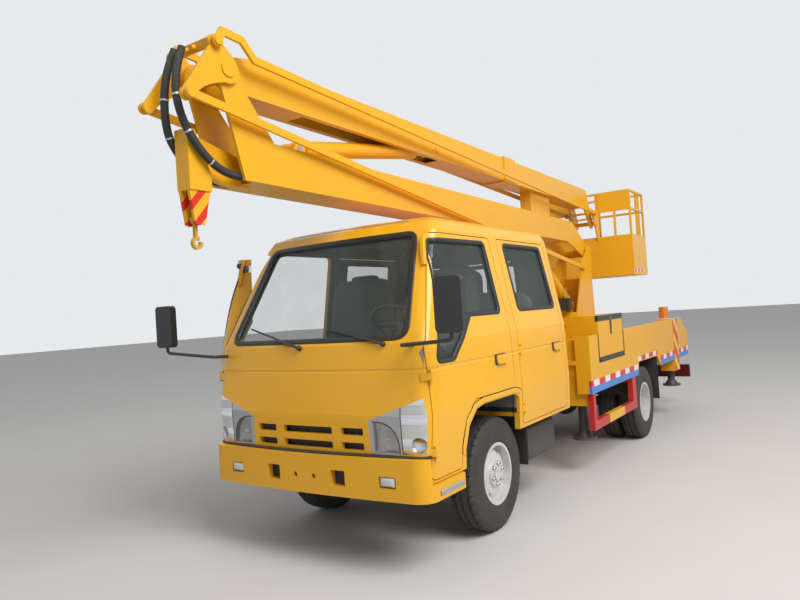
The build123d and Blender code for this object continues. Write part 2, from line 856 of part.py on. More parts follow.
def turned(plane, outlines):
    """A solid turned round a wheel's axis from outlines of (distance across, radius)."""
    with BuildPart() as solid:
        with BuildSketch(plane):
            for outline in outlines:
                with BuildLine():
                    Polyline(*outline, close=True)
                make_face()
        revolve(axis=Axis(plane.origin, plane.x_dir))
    return solid.part


def ring(near, far, inner, outer):
    return [(near, inner), (near, outer), (far, outer), (far, inner)]


for place, (middle_y, middle_x, tyres, drum, hub, cap) in wheel_rows.items():
    plane = Plane(origin=(middle_x, front_axle_y + middle_y, ground_z + axle_z), x_dir=(1, 0, 0), z_dir=(0, -1, 0))
    half = tyre_width / 2
    rubber = []
    steel = [
        ring(hub[0], hub[1], spindle_r + pin_gap, hub_r),
        ring(drum[0], drum[1], spindle_r + pin_gap, drum_r),
        ring(cap[0], cap[1], 0, hub_r / 2),
        ring(min(hub[1], cap[0]) - 2, cap[1], spindle_r + pin_gap, hub_r / 2),
    ]
    for shift, disc, way in tyres:
        rubber.append([(shift + u, v) for u, v in [
            (bead - half, rim_r + 0.3), (-half, rim_r + 60), (4 - half, tyre_r - 60), (24 - half, tyre_r - 9),
            (60 - half, tyre_r), (half - 60, tyre_r), (half - 24, tyre_r - 9), (half - 4, tyre_r - 60),
            (half, rim_r + 60), (half - bead, rim_r + 0.3)]])
        edge = half - bead
        steel.append(ring(shift - edge - rim_lip, shift + edge + rim_lip, rim_r - rim_well, rim_r))
        for lip in (-1, 1):
            inside = shift + lip * (edge + rim_lip - rim_wall)
            steel.append(ring(inside, inside + lip * rim_wall, rim_r - rim_well, rim_r + rim_rise))
        bolt = shift + disc
        steel.append([(bolt + u, v) for u, v in [
            (-way * disc_thick / 2, spindle_r + pin_gap), (-way * disc_thick / 2, disc_flat_r),
            (-way * (dish + disc_thick / 2), rim_r - rim_well + 1),
            (-way * (dish - disc_thick), rim_r - rim_well + 1),
            (way * disc_thick / 2, disc_flat_r + 8), (way * disc_thick / 2, spindle_r + pin_gap)]])
    tyre = turned(plane, rubber)
    with BuildPart() as rim:
        add(turned(plane, steel))
        with BuildSketch(side(0)):
            with Locations((middle_y, axle_z)):
                with PolarLocations(hand_hole_ring, hand_hole_count):
                    Ellipse(hand_hole_size[1] / 2, hand_hole_size[0] / 2)
        extrude(amount=side_far, mode=Mode.SUBTRACT)
    for kind, piece in (("tyre", tyre), ("rim", rim.part)):
        for hand in ("left", "right"):
            copy = piece if hand == "left" else mirror(piece, about=Plane.YZ)
            copy.label = f"{place}_{hand}_{kind}"
            export_step(copy, f"parts/{place}_{hand}_{kind}.step")

# Subframe: side rails, bearers, pedestal, cross boxes with outrigger housings, boom rest
lift_plane = boom_plane(pin_a, True)
fold_plane = boom_plane(pin_b, False)
bearer_rows = [1620, 2250, 2950, 4060, 4560, 5200, 5500]
bearer_half = 30
bearer_reach = 890
housing_gap = 0.3
sub_front = 1300
sub_rear = bed_rear - bed_wall
rest_top_half = 165
rest_post = 45
rest_pad = 24
cross_low = 705
slope_rise = math.tan(math.radians(stow_slope))
rest_z = pin_a[1] + (pin_a[0] - rest_y) * slope_rise + lower_bottom - glass_seat
with BuildPart() as subframe:
    for hand in (1, -1):
        add(block((hand * (sub_out - sub_wide), hand * sub_out), (sub_front, sub_rear), (rail_top, sub_top)))
        add(block((hand * (rest_half - rest_post), hand * rest_half),
                  (rest_y - rest_post, rest_y + rest_post), (sub_top, rest_z - 2 * rest_pad)))
    add(block((-sub_out, sub_out), (rest_y - cross_box / 2, rest_y + cross_box / 2), (cross_low, sub_top)))
    add(block((-rest_top_half, rest_top_half), (rest_y - rest_post, rest_y + rest_post),
              (rest_z - 3 * rest_pad, rest_z - rest_pad)))
    for bearer_y in bearer_rows:
        add(block((-bearer_reach, bearer_reach), (bearer_y - bearer_half, bearer_y + bearer_half),
                  (sub_top, deck_top - deck_plate)))
    add(block((-pedestal_half, pedestal_half), (turret_y - pedestal_half, turret_y + pedestal_half),
              (sub_top - cross_box, pedestal_top)))
    with BuildSketch(level(pedestal_top)):
        with Locations((0, turret_y)):
            Circle(ring_r)
    extrude(amount=ring_tall - ring_gap)
    for middle, half, out, low, high, foot in outrigger_rows.values():
        add(block((-out + 10, out - 10), (middle - cross_box / 2, middle + cross_box / 2), (cross_low, sub_top)))
        for hand in (1, -1):
            add(block((hand * (out - housing_wide), hand * out), (middle - half, middle + half), (low, high)))
            with BuildSketch(level(low)):
                with Locations((hand * (out - housing_wide / 2), middle)):
                    Circle(leg_r + slide_gap)
            extrude(amount=high - low - 20, mode=Mode.SUBTRACT)
subframe.part.label = "subframe"
export_step(subframe.part, "parts/subframe.step")

with BuildPart() as rest_pads:
    add(block((-rest_top_half, rest_top_half), (rest_y - rest_post, rest_y + rest_post), (rest_z - rest_pad, rest_z - 4)))
rest_pads.part.label = "rest_pad"
export_step(rest_pads.part, "parts/rest_pad.step")

# Outrigger legs
for place, (middle, half, out, low, high, foot) in outrigger_rows.items():
    for hand, sign in (("left", 1), ("right", -1)):
        middle_x = sign * (out - housing_wide / 2)
        with BuildPart() as leg:
            with BuildSketch(level(foot)):
                with Locations((middle_x, middle)):
                    Circle(foot_r)
            extrude(amount=foot_thick)
            with BuildSketch(level(foot + foot_thick)):
                with Locations((middle_x, middle)):
                    Circle(leg_r)
            extrude(amount=low + leg_in_housing - foot - foot_thick)
            with BuildSketch(level(foot + foot_thick)) as cone:
                with Locations((middle_x, middle)):
                    Circle(foot_r - 30)
            extrude(amount=50, taper=30)
        leg.part.label = f"{place}_{hand}_leg"
        export_step(leg.part, f"parts/{place}_{hand}_leg.step")

# Deck: floor, side walls with cuts over the wheels, tail, and the tool boxes
wall_z = (bed_bottom, bed_wall_top)
post_wide = 100
deck_side = [
    (bed_front, bed_bottom), (bed_front, bed_wall_top), (bed_tail_y - 30, bed_wall_top),
    (bed_tail_y + 130, bed_tail_top), (bed_rear, bed_tail_top - 60), (bed_rear, bed_bottom),
    wheel_cut[3], wheel_cut[2], wheel_cut[1], wheel_cut[0],
]
inner_wall = bed_half - bed_wall
with BuildPart() as deck:
    add(block((-inner_wall, inner_wall), (bed_front, bed_rear), (deck_top - deck_plate, deck_top)))
    add(web(side(0), deck_side, inner_wall, bed_half))
    add(block((inner_wall - post_wide, inner_wall), (bed_front, bed_front + bed_wall), wall_z))
    add(block((box_in, bed_half), (box_front, box_rear), (deck_top, box_top)))
    add(block((box_in + box_wall, bed_half - lid_thick), (box_front + box_wall, box_rear - box_wall),
              (deck_top + 10, box_top - box_wall)), mode=Mode.SUBTRACT)
    add(block((bed_half - lid_thick, bed_half), (box_front + lid_gap, box_rear - lid_gap),
              (lid_bottom, box_top - box_wall)), mode=Mode.SUBTRACT)
    mirror(about=Plane.YZ)
    add(block((-inner_wall, inner_wall), (bed_rear - bed_wall, bed_rear), (bed_bottom + 100, bed_tail_top - 60)))
    well = pedestal_half + 2 * side_play
    add(block((-well, well), (turret_y - well, turret_y + well), (0, 2 * deck_top)), mode=Mode.SUBTRACT)
    for middle, half, out, low, high, foot in outrigger_rows.values():
        for hand in (1, -1):
            add(block((hand * (out - housing_wide - housing_gap), hand * (out + 10)),
                      (middle - half - housing_gap, middle + half + housing_gap), (0, high + housing_gap)),
                mode=Mode.SUBTRACT)
    with BuildSketch(level(deck_top - deck_plate)):
        with Locations(beacon_at, (-beacon_at[0], beacon_at[1])):
            Circle(beacon_post_r)
    extrude(amount=deck_plate, mode=Mode.SUBTRACT)
deck.part.label = "deck"
export_step(deck.part, "parts/deck.step")

lid_hinge = (bed_half + 4, lid_bottom + 10)
lid_hinge_r = 6
for hand in ("left", "right"):
    with BuildPart() as lid:
        lid_ends = (box_front + lid_gap + door_gap / 2, box_rear - lid_gap - door_gap / 2)
        add(block((bed_half - lid_thick + door_gap / 2, bed_half), lid_ends,
                  (lid_bottom + door_gap / 2, box_top - box_wall - door_gap / 2)))
        with BuildSketch(cross(lid_ends[0])):
            with Locations(lid_hinge):
                Circle(lid_hinge_r)
        extrude(amount=lid_ends[0] - lid_ends[1])
    piece = lid.part if hand == "left" else mirror(lid.part, about=Plane.YZ)
    piece.label = f"{hand}_hatch"
    export_step(piece, f"parts/{hand}_hatch.step")

# Guards: side rails between the axles, and the bar under the tail
guard_x = (900, 950)
# columns: front, rear, bottom, top
guard_rows = [(1580, 1640, 392, 708), (2800, 2922, 392, 708), (1580, 2922, 392, 470)]
under_run = (5640, 5700, 389, 556)
with BuildPart() as guards:
    for start, end, low, high in guard_rows:
        add(block(guard_x, (start, end), (low, high)))
    add(block((rail_out, guard_x[0]), (2835, 2885), (650, 690)))
    mirror(about=Plane.YZ)
    start, end, low, high = under_run
    add(block((-930, 930), (start, end), (low, high)))
    for hand in (1, -1):
        add(block((hand * 300, hand * 350), (rail_rear, start), (440, 700)))
guards.part.label = "guards"
export_step(guards.part, "parts/guards.step")

# Mudguards over the wheels, with their flaps
flap_thick = 8
with BuildPart() as mudguards:
    add(block((530, 812), (448, 448 + flap_thick), (345, cab_floor_rear - floor_plate)))
    add(block((530, 812), (-455, -455 + flap_thick), (500, cab_floor_front - floor_plate)))
    add(block((480, 944), (3870, 3870 + flap_thick), (345, 830)))
    add(block((480, 896), (3870, 3870 + flap_thick), (830, 960)))
    add(block((480, 896), (2905, 2905 + flap_thick), (520, 960)))
    mirror(about=Plane.YZ)
mudguards.part.label = "mudguards"
export_step(mudguards.part, "parts/mudguards.step")

# Beacons and tail lamps
with BuildPart() as rear_lamps:
    for hand in (1, -1):
        with BuildSketch(level(bed_wall_top - beacon_drop)):
            with Locations((hand * beacon_at[0], beacon_at[1])):
                Circle(beacon_r)
        extrude(amount=beacon_tall)
        with BuildSketch(level(deck_top - deck_plate)):
            with Locations((hand * beacon_at[0], beacon_at[1])):
                Circle(beacon_post_r)
        extrude(amount=bed_wall_top - beacon_drop - deck_top + deck_plate)
        add(block((hand * 700, hand * 880), (bed_rear, bed_rear + 40), (820, 900)))
rear_lamps.part.label = "rear_lamps"
export_step(rear_lamps.part, "parts/rear_lamps.step")

# Turret: base plate, two side plates with ears, and its pins
ear_r = 75
lobe_r = 50
lug_gap = 44
lug_thick = 20
cap_thick = 6
turret_outline = [
    (3522, turret_floor), (4161, turret_floor), (4136, 1797), (pin_a[0] + ear_r, pin_a[1]),
    (pin_a[0] - ear_r, pin_a[1] + 10), (pin_d[0], pin_d[1] + lobe_r), (pin_d[0] - lobe_r, pin_d[1]), (3751, 1795),
]
front_plate = [(3530, turret_floor), (3560, turret_floor), (3586, 1390), (3556, 1390)]
rear_plate = [(4130, turret_floor), (4161, turret_floor), (4136, 1797), (4106, 1797)]
with BuildPart() as turret:
    with BuildSketch(level(pedestal_top + ring_tall)):
        with Locations((0, turret_y)):
            Circle(ring_r)
    extrude(amount=turret_floor - pedestal_top - ring_tall)
    add(web(side(0), turret_outline, turret_in, turret_out, [(pin_a, ear_r), (pin_d, lobe_r)]))
    add(shaft(pin_d, link_pin_r, turret_out, rod_out + 2))
    add(shaft(pin_d, link_pin_r + 10, rod_out + 2, rod_out + 2 + cap_thick))
    for hand in (1,):
        lug = [(3660, turret_floor), (3800, turret_floor), plus(lift_foot, (45, 0)), plus(lift_foot, (-45, 0))]
        add(web(side(0), lug, hand * lug_gap, hand * (lug_gap + lug_thick), [(lift_foot, 45)]))
    mirror(about=Plane.YZ)
    add(web(side(0), front_plate, -turret_in, turret_in))
    add(web(side(0), rear_plate, -turret_in, turret_in))
    add(shaft(pin_a, main_pin_r, -turret_out - 2, turret_out + 2))
    add(shaft(lift_foot, lift_pin_r, -lug_gap - lug_thick, lug_gap + lug_thick))
turret.part.label = "turret"
export_step(turret.part, "parts/turret.step")

# Lower boom: a hollow box, neck plates to its pin, fork plates to the elbow, lugs and rest
box_front_u = 5619
neck = [(-40, 70), (446, lower_top), (900, lower_top), (900, lower_bottom), (640, lower_bottom), (20, -78)]
beam = [(446, lower_top), (5380, lower_top), (box_front_u - 70, lower_bottom), (537, lower_bottom)]
pin_b_at = (5735.7, 679.0)
fork = [
    (4900, lower_bottom), (box_front_u, lower_bottom), (5764, 583), (pin_b_at[0] + 75, pin_b_at[1]),
    (pin_b_at[0] - 75, pin_b_at[1]), (5598, 598), (5458, 432), (5380, lower_top), (4900, lower_top),
]


def on_boom(pin, forward, point):
    """A point of the truck's middle plane, as (u, v) on a stowed boom."""
    slope = math.radians(stow_slope)
    back, rise = point[0] - pin[0], point[1] - pin[1]
    u = back * math.cos(slope) - rise * math.sin(slope)
    v = back * math.sin(slope) + rise * math.cos(slope)
    return (-u, v) if forward else (u, v)


lift_eye_at = on_boom(pin_a, True, lift_eye)
elbow_foot_at = on_boom(pin_a, True, elbow_foot)
elbow_eye_at = on_boom(pin_b, False, elbow_eye)
pin_t_at = on_boom(pin_b, False, pin_t)
hub_b_at = on_boom(pin_a, True, pin_b)
rest_foot = [(935, lower_top), (935, 590.7), (1463, 590.7), (1463, lower_top)]
pipe_end_u = 5590
pipe_x = 95
pipe_r = 15
pipe_long = 300
with BuildPart() as lower_boom:
    add(web(lift_plane, beam, -lower_half, lower_half))
    inside = [
        (446 + 60, lower_top - lower_wall), (5700, lower_top - lower_wall), (5700, lower_bottom + lower_wall),
        (537 + 60, lower_bottom + lower_wall),
    ]
    add(web(lift_plane, inside, -lower_half + lower_wall, lower_half - lower_wall), mode=Mode.SUBTRACT)
    for hand in (1, -1):
        near, far = hand * (lower_half - lower_plate), hand * lower_half
        add(web(lift_plane, neck, near, far, [((0, 0), 80)]))
        add(web(lift_plane, fork, near, far, [(hub_b_at, 75)]))
        lug = [
            (lift_eye_at[0] - 110, lower_bottom), (lift_eye_at[0] + 110, lower_bottom),
            plus(lift_eye_at, (45, 0)), plus(lift_eye_at, (-45, 0)),
        ]
        add(web(lift_plane, lug, hand * lug_gap, hand * (lug_gap + lug_thick), [(lift_eye_at, 45)]))
        lug = [
            (elbow_foot_at[0] - 70, lower_top), (elbow_foot_at[0] + 70, lower_top),
            plus(elbow_foot_at, (45, 0)), plus(elbow_foot_at, (-45, 0)),
        ]
        add(web(lift_plane, lug, hand * lug_gap, hand * (lug_gap + lug_thick), [(elbow_foot_at, 45)],
                [(elbow_foot_at, elbow_pin_r + pin_gap)]))
    add(web(lift_plane, rest_foot, -60, 60))
    with BuildSketch(lift_plane):
        Circle(56)
    extrude(amount=lower_half, both=True)
    with BuildSketch(lift_plane):
        Circle(main_pin_r + pin_gap)
    extrude(amount=lower_half, both=True, mode=Mode.SUBTRACT)
    add(shaft(pin_b, main_pin_r, -crank_out - 2, crank_out + 2))
    for hand in (1, -1):
        add(shaft(pin_b, main_pin_r + 12, hand * (crank_out + 2), hand * (crank_out + 2 + cap_thick)))
    for hand in (1, -1):
        add(shaft(lift_eye, lift_pin_r + 8, hand * (lug_gap + lug_thick), hand * (lug_gap + lug_thick + cap_thick)))
    hook_box = [
        (hook_box_front, hook_box_bottom), (hook_box_front, hook_box_top), (-1787, hook_box_top),
        (-1692, 2324), (-1692, hook_box_bottom),
    ]
    add(web(side(0), hook_box, -hook_box_half, hook_box_half))
    add(web(side(0), [(-1787, 2540), (-1692, 2324), (-1560, 2290), (-1390, 2296), (-1390, 2440)], -20, 20))
    add(web(side(0), [(-1700, 2236), (-1838, 2236), (-1810, 2056), (-1745, 2056)], 26, 44, [((-1780, 2085), 34)]))
    add(web(side(0), [(-1700, 2236), (-1838, 2236), (-1810, 2056), (-1745, 2056)], -44, -26, [((-1780, 2085), 34)]))
    add(shaft(hook_pin, 12, -44, 44))
    for hand in (1, -1):
        pipe_start = lift_plane.from_local_coords((pipe_end_u, lower_bottom + lower_wall + pipe_r - 1, hand * pipe_x))
        with BuildSketch(Plane(origin=pipe_start, z_dir=-lift_plane.x_dir)):
            Circle(pipe_r)
        extrude(amount=pipe_long)
lower_boom.part.label = "lower_boom"
export_step(lower_boom.part, "parts/lower_boom.step")

# Upper boom
upper_end = 5960
upper_beam = [(230, upper_top), (upper_end, upper_top), (upper_end, upper_bottom), (230, upper_bottom)]
upper_neck = [(-20, 82), (230, upper_top), (700, upper_top), (700, upper_bottom), (230, upper_bottom), (-20, -82)]
tip = [
    (5600, upper_top), (upper_end, upper_top), plus(pin_t_at, (58, 20)), plus(pin_t_at, (-50, -30)),
    (5860, upper_bottom), (5600, upper_bottom),
]
slot = (690, 2353)
slot_half = 64
collar = (3538, 3789)
collar_grow = 14
with BuildPart() as upper_boom:
    add(web(fold_plane, upper_beam, -upper_half, upper_half))
    add(web(fold_plane, [(collar[0], upper_bottom - collar_grow), (collar[1], upper_bottom - collar_grow),
                         (collar[1], upper_top + collar_grow), (collar[0], upper_top + collar_grow)],
            -upper_half - collar_grow, upper_half + collar_grow))
    inside = [
        (230 + upper_wall, upper_top - upper_wall), (upper_end - upper_wall, upper_top - upper_wall),
        (upper_end - upper_wall, upper_bottom + upper_wall), (230 + upper_wall, upper_bottom + upper_wall),
    ]
    add(web(fold_plane, inside, -upper_half + upper_wall, upper_half - upper_wall), mode=Mode.SUBTRACT)
    for hand in (1, -1):
        near, far = hand * (upper_half - upper_plate), hand * upper_half
        add(web(fold_plane, upper_neck, near, far, [((0, 0), 85)]))
        add(web(fold_plane, tip, near, far, [(pin_t_at, 60)]))
    well = [(slot[0], upper_bottom - 10), (slot[0], upper_bottom + 20), (slot[1], upper_bottom + 20), (slot[1], upper_bottom - 10)]
    add(web(fold_plane, well, -slot_half, slot_half), mode=Mode.SUBTRACT)
    with BuildSketch(fold_plane):
        Circle(56)
    extrude(amount=upper_half, both=True)
    with BuildSketch(fold_plane):
        Circle(main_pin_r + pin_gap)
    extrude(amount=upper_half, both=True, mode=Mode.SUBTRACT)
    for hand in (1, -1):
        add(shaft(elbow_eye, elbow_pin_r + 8, hand * upper_half, hand * (upper_half + cap_thick)))
    add(shaft(pin_t, 25, -crank_out - 2, crank_out + 2))
    for hand in (1, -1):
        add(shaft(pin_t, 36, hand * (crank_out + 2), hand * (crank_out + 2 + cap_thick)))
upper_boom.part.label = "upper_boom"
export_step(upper_boom.part, "parts/upper_boom.step")

# Levelling cranks at the elbow, with their stub pins
crank_outline = [
    (-1741, 3000), (-1690, 3048), (-1586, 2963), (-1560, 2880), (-1629, 2822), (-1735, 2790), (-1800, 2757),
    (-1851, 2715), (-1900, 2664), (-1940, 2710),
]
bulkhead = [(-98, 150), (-110, 147), (-96, 98), (-84, 100)]
fitting_at = (-98, 124)
fitting_run = (0.944, 0.328)
fitting_x = 30
fitting_long = 34
with BuildPart() as crank:
    for pin in (pin_c, pin_e):
        add(shaft(pin, link_pin_r, crank_in, rod_out + 2))
        add(shaft(pin, link_pin_r + 10, rod_out + 2, rod_out + 2 + cap_thick))
    add(web(side(0), crank_outline, crank_in, crank_out, [(pin_c, 34), (pin_e, 38), (pin_b, 78)],
            [(pin_b, main_pin_r + pin_gap)]))
    mirror(about=Plane.YZ)
    add(web(side(0), [plus(pin_b, shift) for shift in bulkhead], -crank_in, crank_in))
    for hand in (1, -1):
        with BuildSketch(Plane(origin=put(plus(pin_b, fitting_at)) + Vector(hand * fitting_x, 0, 0),
                               z_dir=(0, -fitting_run[0], -fitting_run[1]))):
            Circle(pipe_r)
        extrude(amount=fitting_long)
crank.part.label = "level_crank"
export_step(crank.part, "parts/level_crank.step")


def link_rod(points, eye_r):
    """A pair of levelling rods along a route, with an eye at each end."""
    with BuildPart() as rod:
        with BuildSketch(side(rod_in)):
            with BuildLine() as route:
                Polyline(*points)
            trace(route.wires()[0], rod_tall)
            with Locations(points[0], points[-1]):
                Circle(eye_r)
            with Locations(points[0], points[-1]):
                Circle(link_pin_r + pin_gap, mode=Mode.SUBTRACT)
        extrude(amount=rod_thick)
        mirror(about=Plane.YZ)
    return rod.part


lower_rods = link_rod([pin_c, pin_d], 32)
lower_rods.label = "lower_rods"
export_step(lower_rods, "parts/lower_rods.step")
upper_rods = link_rod([pin_e, (-1680, 3075), (-1545, 3066), (-1455, 2980), pin_g], 34)
upper_rods.label = "upper_rods"
export_step(upper_rods, "parts/upper_rods.step")


# Cylinders: barrels with a gland, rods with an eye, and pistons
cap_gap = 60
end_cap = 12
barrel_wall = 12
gland = 60
piston_long = 50
eye_wall = 20
eye_half = 38


def barrel_of(foot, eye, barrel_r, rod_r, length, pin_r):
    """A cylinder's barrel on its foot pin, pointing at the eye of its rod."""
    axis = put(eye) - put(foot)
    plane = Plane(origin=put(foot), x_dir=(1, 0, 0), z_dir=tuple(axis.normalized()))
    start = pin_r + cap_gap
    with BuildPart() as barrel:
        with BuildSketch(plane.offset(start)):
            Circle(barrel_r)
        extrude(amount=length - start)
        with BuildSketch(plane.offset(start + end_cap)):
            Circle(barrel_r - barrel_wall)
        extrude(amount=length - start - end_cap - gland, mode=Mode.SUBTRACT)
        with BuildSketch(plane.offset(length - gland - 1)):
            Circle(rod_r + slide_gap)
        extrude(amount=gland + 2, mode=Mode.SUBTRACT)
        with BuildSketch(side(0)):
            with Locations(foot):
                Circle(pin_r + eye_wall)
        extrude(amount=eye_half, both=True)
        with BuildSketch(plane):
            Rectangle(2 * eye_half, 2 * pin_r)
        extrude(amount=start)
        with BuildSketch(side(0)):
            with Locations(foot):
                Circle(pin_r + pin_gap)
        extrude(amount=eye_half, both=True, mode=Mode.SUBTRACT)
    return barrel.part


def rod_of(foot, eye, rod_r, length, pin_r, pin_half):
    """A cylinder's rod, from inside its barrel to its eye and the pin in it."""
    axis = put(eye) - put(foot)
    plane = Plane(origin=put(foot), x_dir=(1, 0, 0), z_dir=tuple(axis.normalized()))
    with BuildPart() as rod:
        with BuildSketch(plane.offset(axis.length - length)):
            Circle(rod_r)
        extrude(amount=length - pin_r - 6)
        with BuildSketch(side(0)):
            with Locations(eye):
                Circle(pin_r + eye_wall)
        extrude(amount=eye_half, both=True)
        add(shaft(eye, pin_r, -pin_half, pin_half))
    return rod.part


def piston_of(foot, eye, length, outer, inner):
    """The piston on the tail of a cylinder's rod."""
    axis = put(eye) - put(foot)
    plane = Plane(origin=put(foot), x_dir=(1, 0, 0), z_dir=tuple(axis.normalized()))
    with BuildPart() as piston:
        with BuildSketch(plane.offset(axis.length - length + 2)):
            Circle(outer)
            if inner:
                Circle(inner, mode=Mode.SUBTRACT)
        extrude(amount=piston_long)
    return piston.part


lift_barrel = barrel_of(lift_foot, lift_eye, lift_barrel_r, lift_rod_r, lift_barrel_length, lift_pin_r)
lift_barrel.label = "lift_barrel"
export_step(lift_barrel, "parts/lift_barrel.step")
with BuildPart() as lift_rod:
    add(rod_of(lift_foot, lift_eye, lift_rod_r, lift_rod_length, lift_pin_r, eye_half + 2))
    add(piston_of(lift_foot, lift_eye, lift_rod_length, lift_barrel_r - barrel_wall - slide_gap, 0))
lift_rod.part.label = "lift_rod"
export_step(lift_rod.part, "parts/lift_rod.step")

elbow_barrel = barrel_of(elbow_foot, elbow_eye, elbow_barrel_r, elbow_rod_r, elbow_barrel_length, elbow_pin_r)
elbow_barrel.label = "elbow_barrel"
export_step(elbow_barrel, "parts/elbow_barrel.step")
elbow_rod = rod_of(elbow_foot, elbow_eye, elbow_rod_r, elbow_rod_length, elbow_pin_r, slot_half - 8)
elbow_rod.label = "elbow_rod"
export_step(elbow_rod, "parts/elbow_rod.step")
elbow_piston = piston_of(elbow_foot, elbow_eye, elbow_rod_length, elbow_barrel_r - barrel_wall - slide_gap,
                         elbow_rod_r + slide_gap)
elbow_piston.label = "elbow_piston"
export_step(elbow_piston, "parts/elbow_piston.step")
elbow_pin = shaft(elbow_foot, elbow_pin_r, -lug_gap - lug_thick - 4, lug_gap + lug_thick + 4)
elbow_pin.label = "elbow_pin"
export_step(elbow_pin, "parts/elbow_pin.step")

# Basket with rails, panels and the bracket that hangs it on the upper boom
rail_r = 13
bracket = [
    (basket_front, basket_panel_top - 60), (basket_front, 2680), plus(pin_g, (20, 38)), plus(pin_g, (-30, 20)),
    plus(pin_t, (-45, -20)), plus(pin_t, (-10, -48)),
]
posts = [
    (-basket_half, basket_front), (basket_half, basket_front), (basket_half, basket_rear),
    (-basket_half, basket_rear), (-154, basket_front), (154, basket_front), (basket_half, 4860), (-basket_half, 4860),
    (basket_half, 4960), (-basket_half, 4960), (380, basket_front), (-380, basket_front), (0, basket_rear),
]
with BuildPart() as basket:
    outer = (-basket_half, basket_half), (basket_front, basket_rear)
    add(block(*outer, (basket_bottom, basket_panel_top)))
    add(block((-basket_half + panel_wall, basket_half - panel_wall),
              (basket_front + panel_wall, basket_rear - panel_wall),
              (basket_bottom + 20, basket_panel_top + 10)), mode=Mode.SUBTRACT)
    for rail_z in (basket_rail - rail_r, 2650):
        with BuildSketch(level(rail_z - rail_r)):
            with Locations((0, (basket_front + basket_rear) / 2)):
                Rectangle(2 * basket_half, basket_rear - basket_front)
                Rectangle(2 * basket_half - 4 * rail_r, basket_rear - basket_front - 4 * rail_r, mode=Mode.SUBTRACT)
        extrude(amount=2 * rail_r)
    for x, y in posts:
        in_x = x - math.copysign(rail_r, x) if abs(x) == basket_half else x
        in_y = y + rail_r if y == basket_front else (y - rail_r if y == basket_rear else y)
        add(block((in_x - rail_r, in_x + rail_r), (in_y - rail_r, in_y + rail_r), (basket_panel_top - 40, basket_rail - rail_r)))
    for hand in (1, -1):
        add(block((hand * console_in, hand * basket_half), (basket_front, basket_front + panel_wall),
                  (console_bottom, basket_rail)))
        add(web(side(0), bracket, hand * crank_in, hand * crank_out, [(pin_t, 48), (pin_g, 38)],
                [(pin_t, 25 + pin_gap)]))
        add(shaft(pin_g, link_pin_r, hand * crank_out, hand * (rod_out + 2)))
        add(shaft(pin_g, link_pin_r + 10, hand * (rod_out + 2), hand * (rod_out + 2 + cap_thick)))
basket.part.label = "basket"
export_step(basket.part, "parts/basket.step")

# Hook on its pin
with BuildPart() as hook:
    with BuildSketch(side(0)):
        with Locations(hook_pin):
            Circle(24)
            Circle(12 + pin_gap, mode=Mode.SUBTRACT)
        with Locations((hook_pin[0], hook_pin[1] - 60)):
            Rectangle(16, 80)
        with Locations((hook_pin[0] + 6, hook_pin[1] - 125)):
            Circle(34)
            Circle(18, mode=Mode.SUBTRACT)
        with Locations((hook_pin[0] + 30, hook_pin[1] - 105)):
            Rectangle(24, 26, mode=Mode.SUBTRACT)
    extrude(amount=11, both=True)
hook.part.label = "hook"
export_step(hook.part, "parts/hook.step")

# Hose bundles from the crank's bulkhead down into the lower boom
hose_r = 22
# columns: x to the left, y, z of each point of the route
hose_rows = {
    "left": [
        (30, -1822, 2990), (35, -1862, 2890), (41, -1885, 2790), (48, -1888, 2700), (60, -1874, 2610),
        (78, -1848, 2528), (83, -1795, 2455), (88, -1733, 2395), (92, -1655, 2350), (95, -1575, 2333),
        (95, -1497.4, 2330.5),
    ],
    "right": [
        (-30, -1822, 2990), (-38, -1866, 2884), (-47, -1884, 2784), (-57, -1886, 2692), (-68, -1876, 2604),
        (-80, -1850, 2522), (-84, -1796, 2450), (-88, -1731, 2393), (-92, -1653, 2350), (-95, -1573, 2333.5),
        (-95, -1497.4, 2330.5),
    ],
}
for hand, row in hose_rows.items():
    points = [Vector(x, front_axle_y + y, ground_z + z) for x, y, z in row]
    radii = []
    for start, corner, end in zip(points, points[1:], points[2:]):
        turn = math.radians((corner - start).get_angle(end - corner))
        radii.append(0.45 * min((corner - start).length, (end - corner).length) / math.tan(turn / 2))
    with BuildPart() as hose:
        with BuildLine() as route:
            FilletPolyline(*points, radius=radii)
        with BuildSketch(Plane(origin=points[0], z_dir=points[1] - points[0])):
            Circle(hose_r)
        sweep(path=route.wires()[0])
    length = route.wires()[0].length
    print(hand, "hoses: length", round(length), "least radius", round(min(radii)),
          "volume against section", round(hose.part.volume / (math.pi * hose_r ** 2 * length), 4))
    hose.part.label = f"{hand}_hoses"
    export_step(hose.part, f"parts/{hand}_hoses.step")
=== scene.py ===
import functools
import math

import bpy
import numpy as np
from mathutils import Matrix


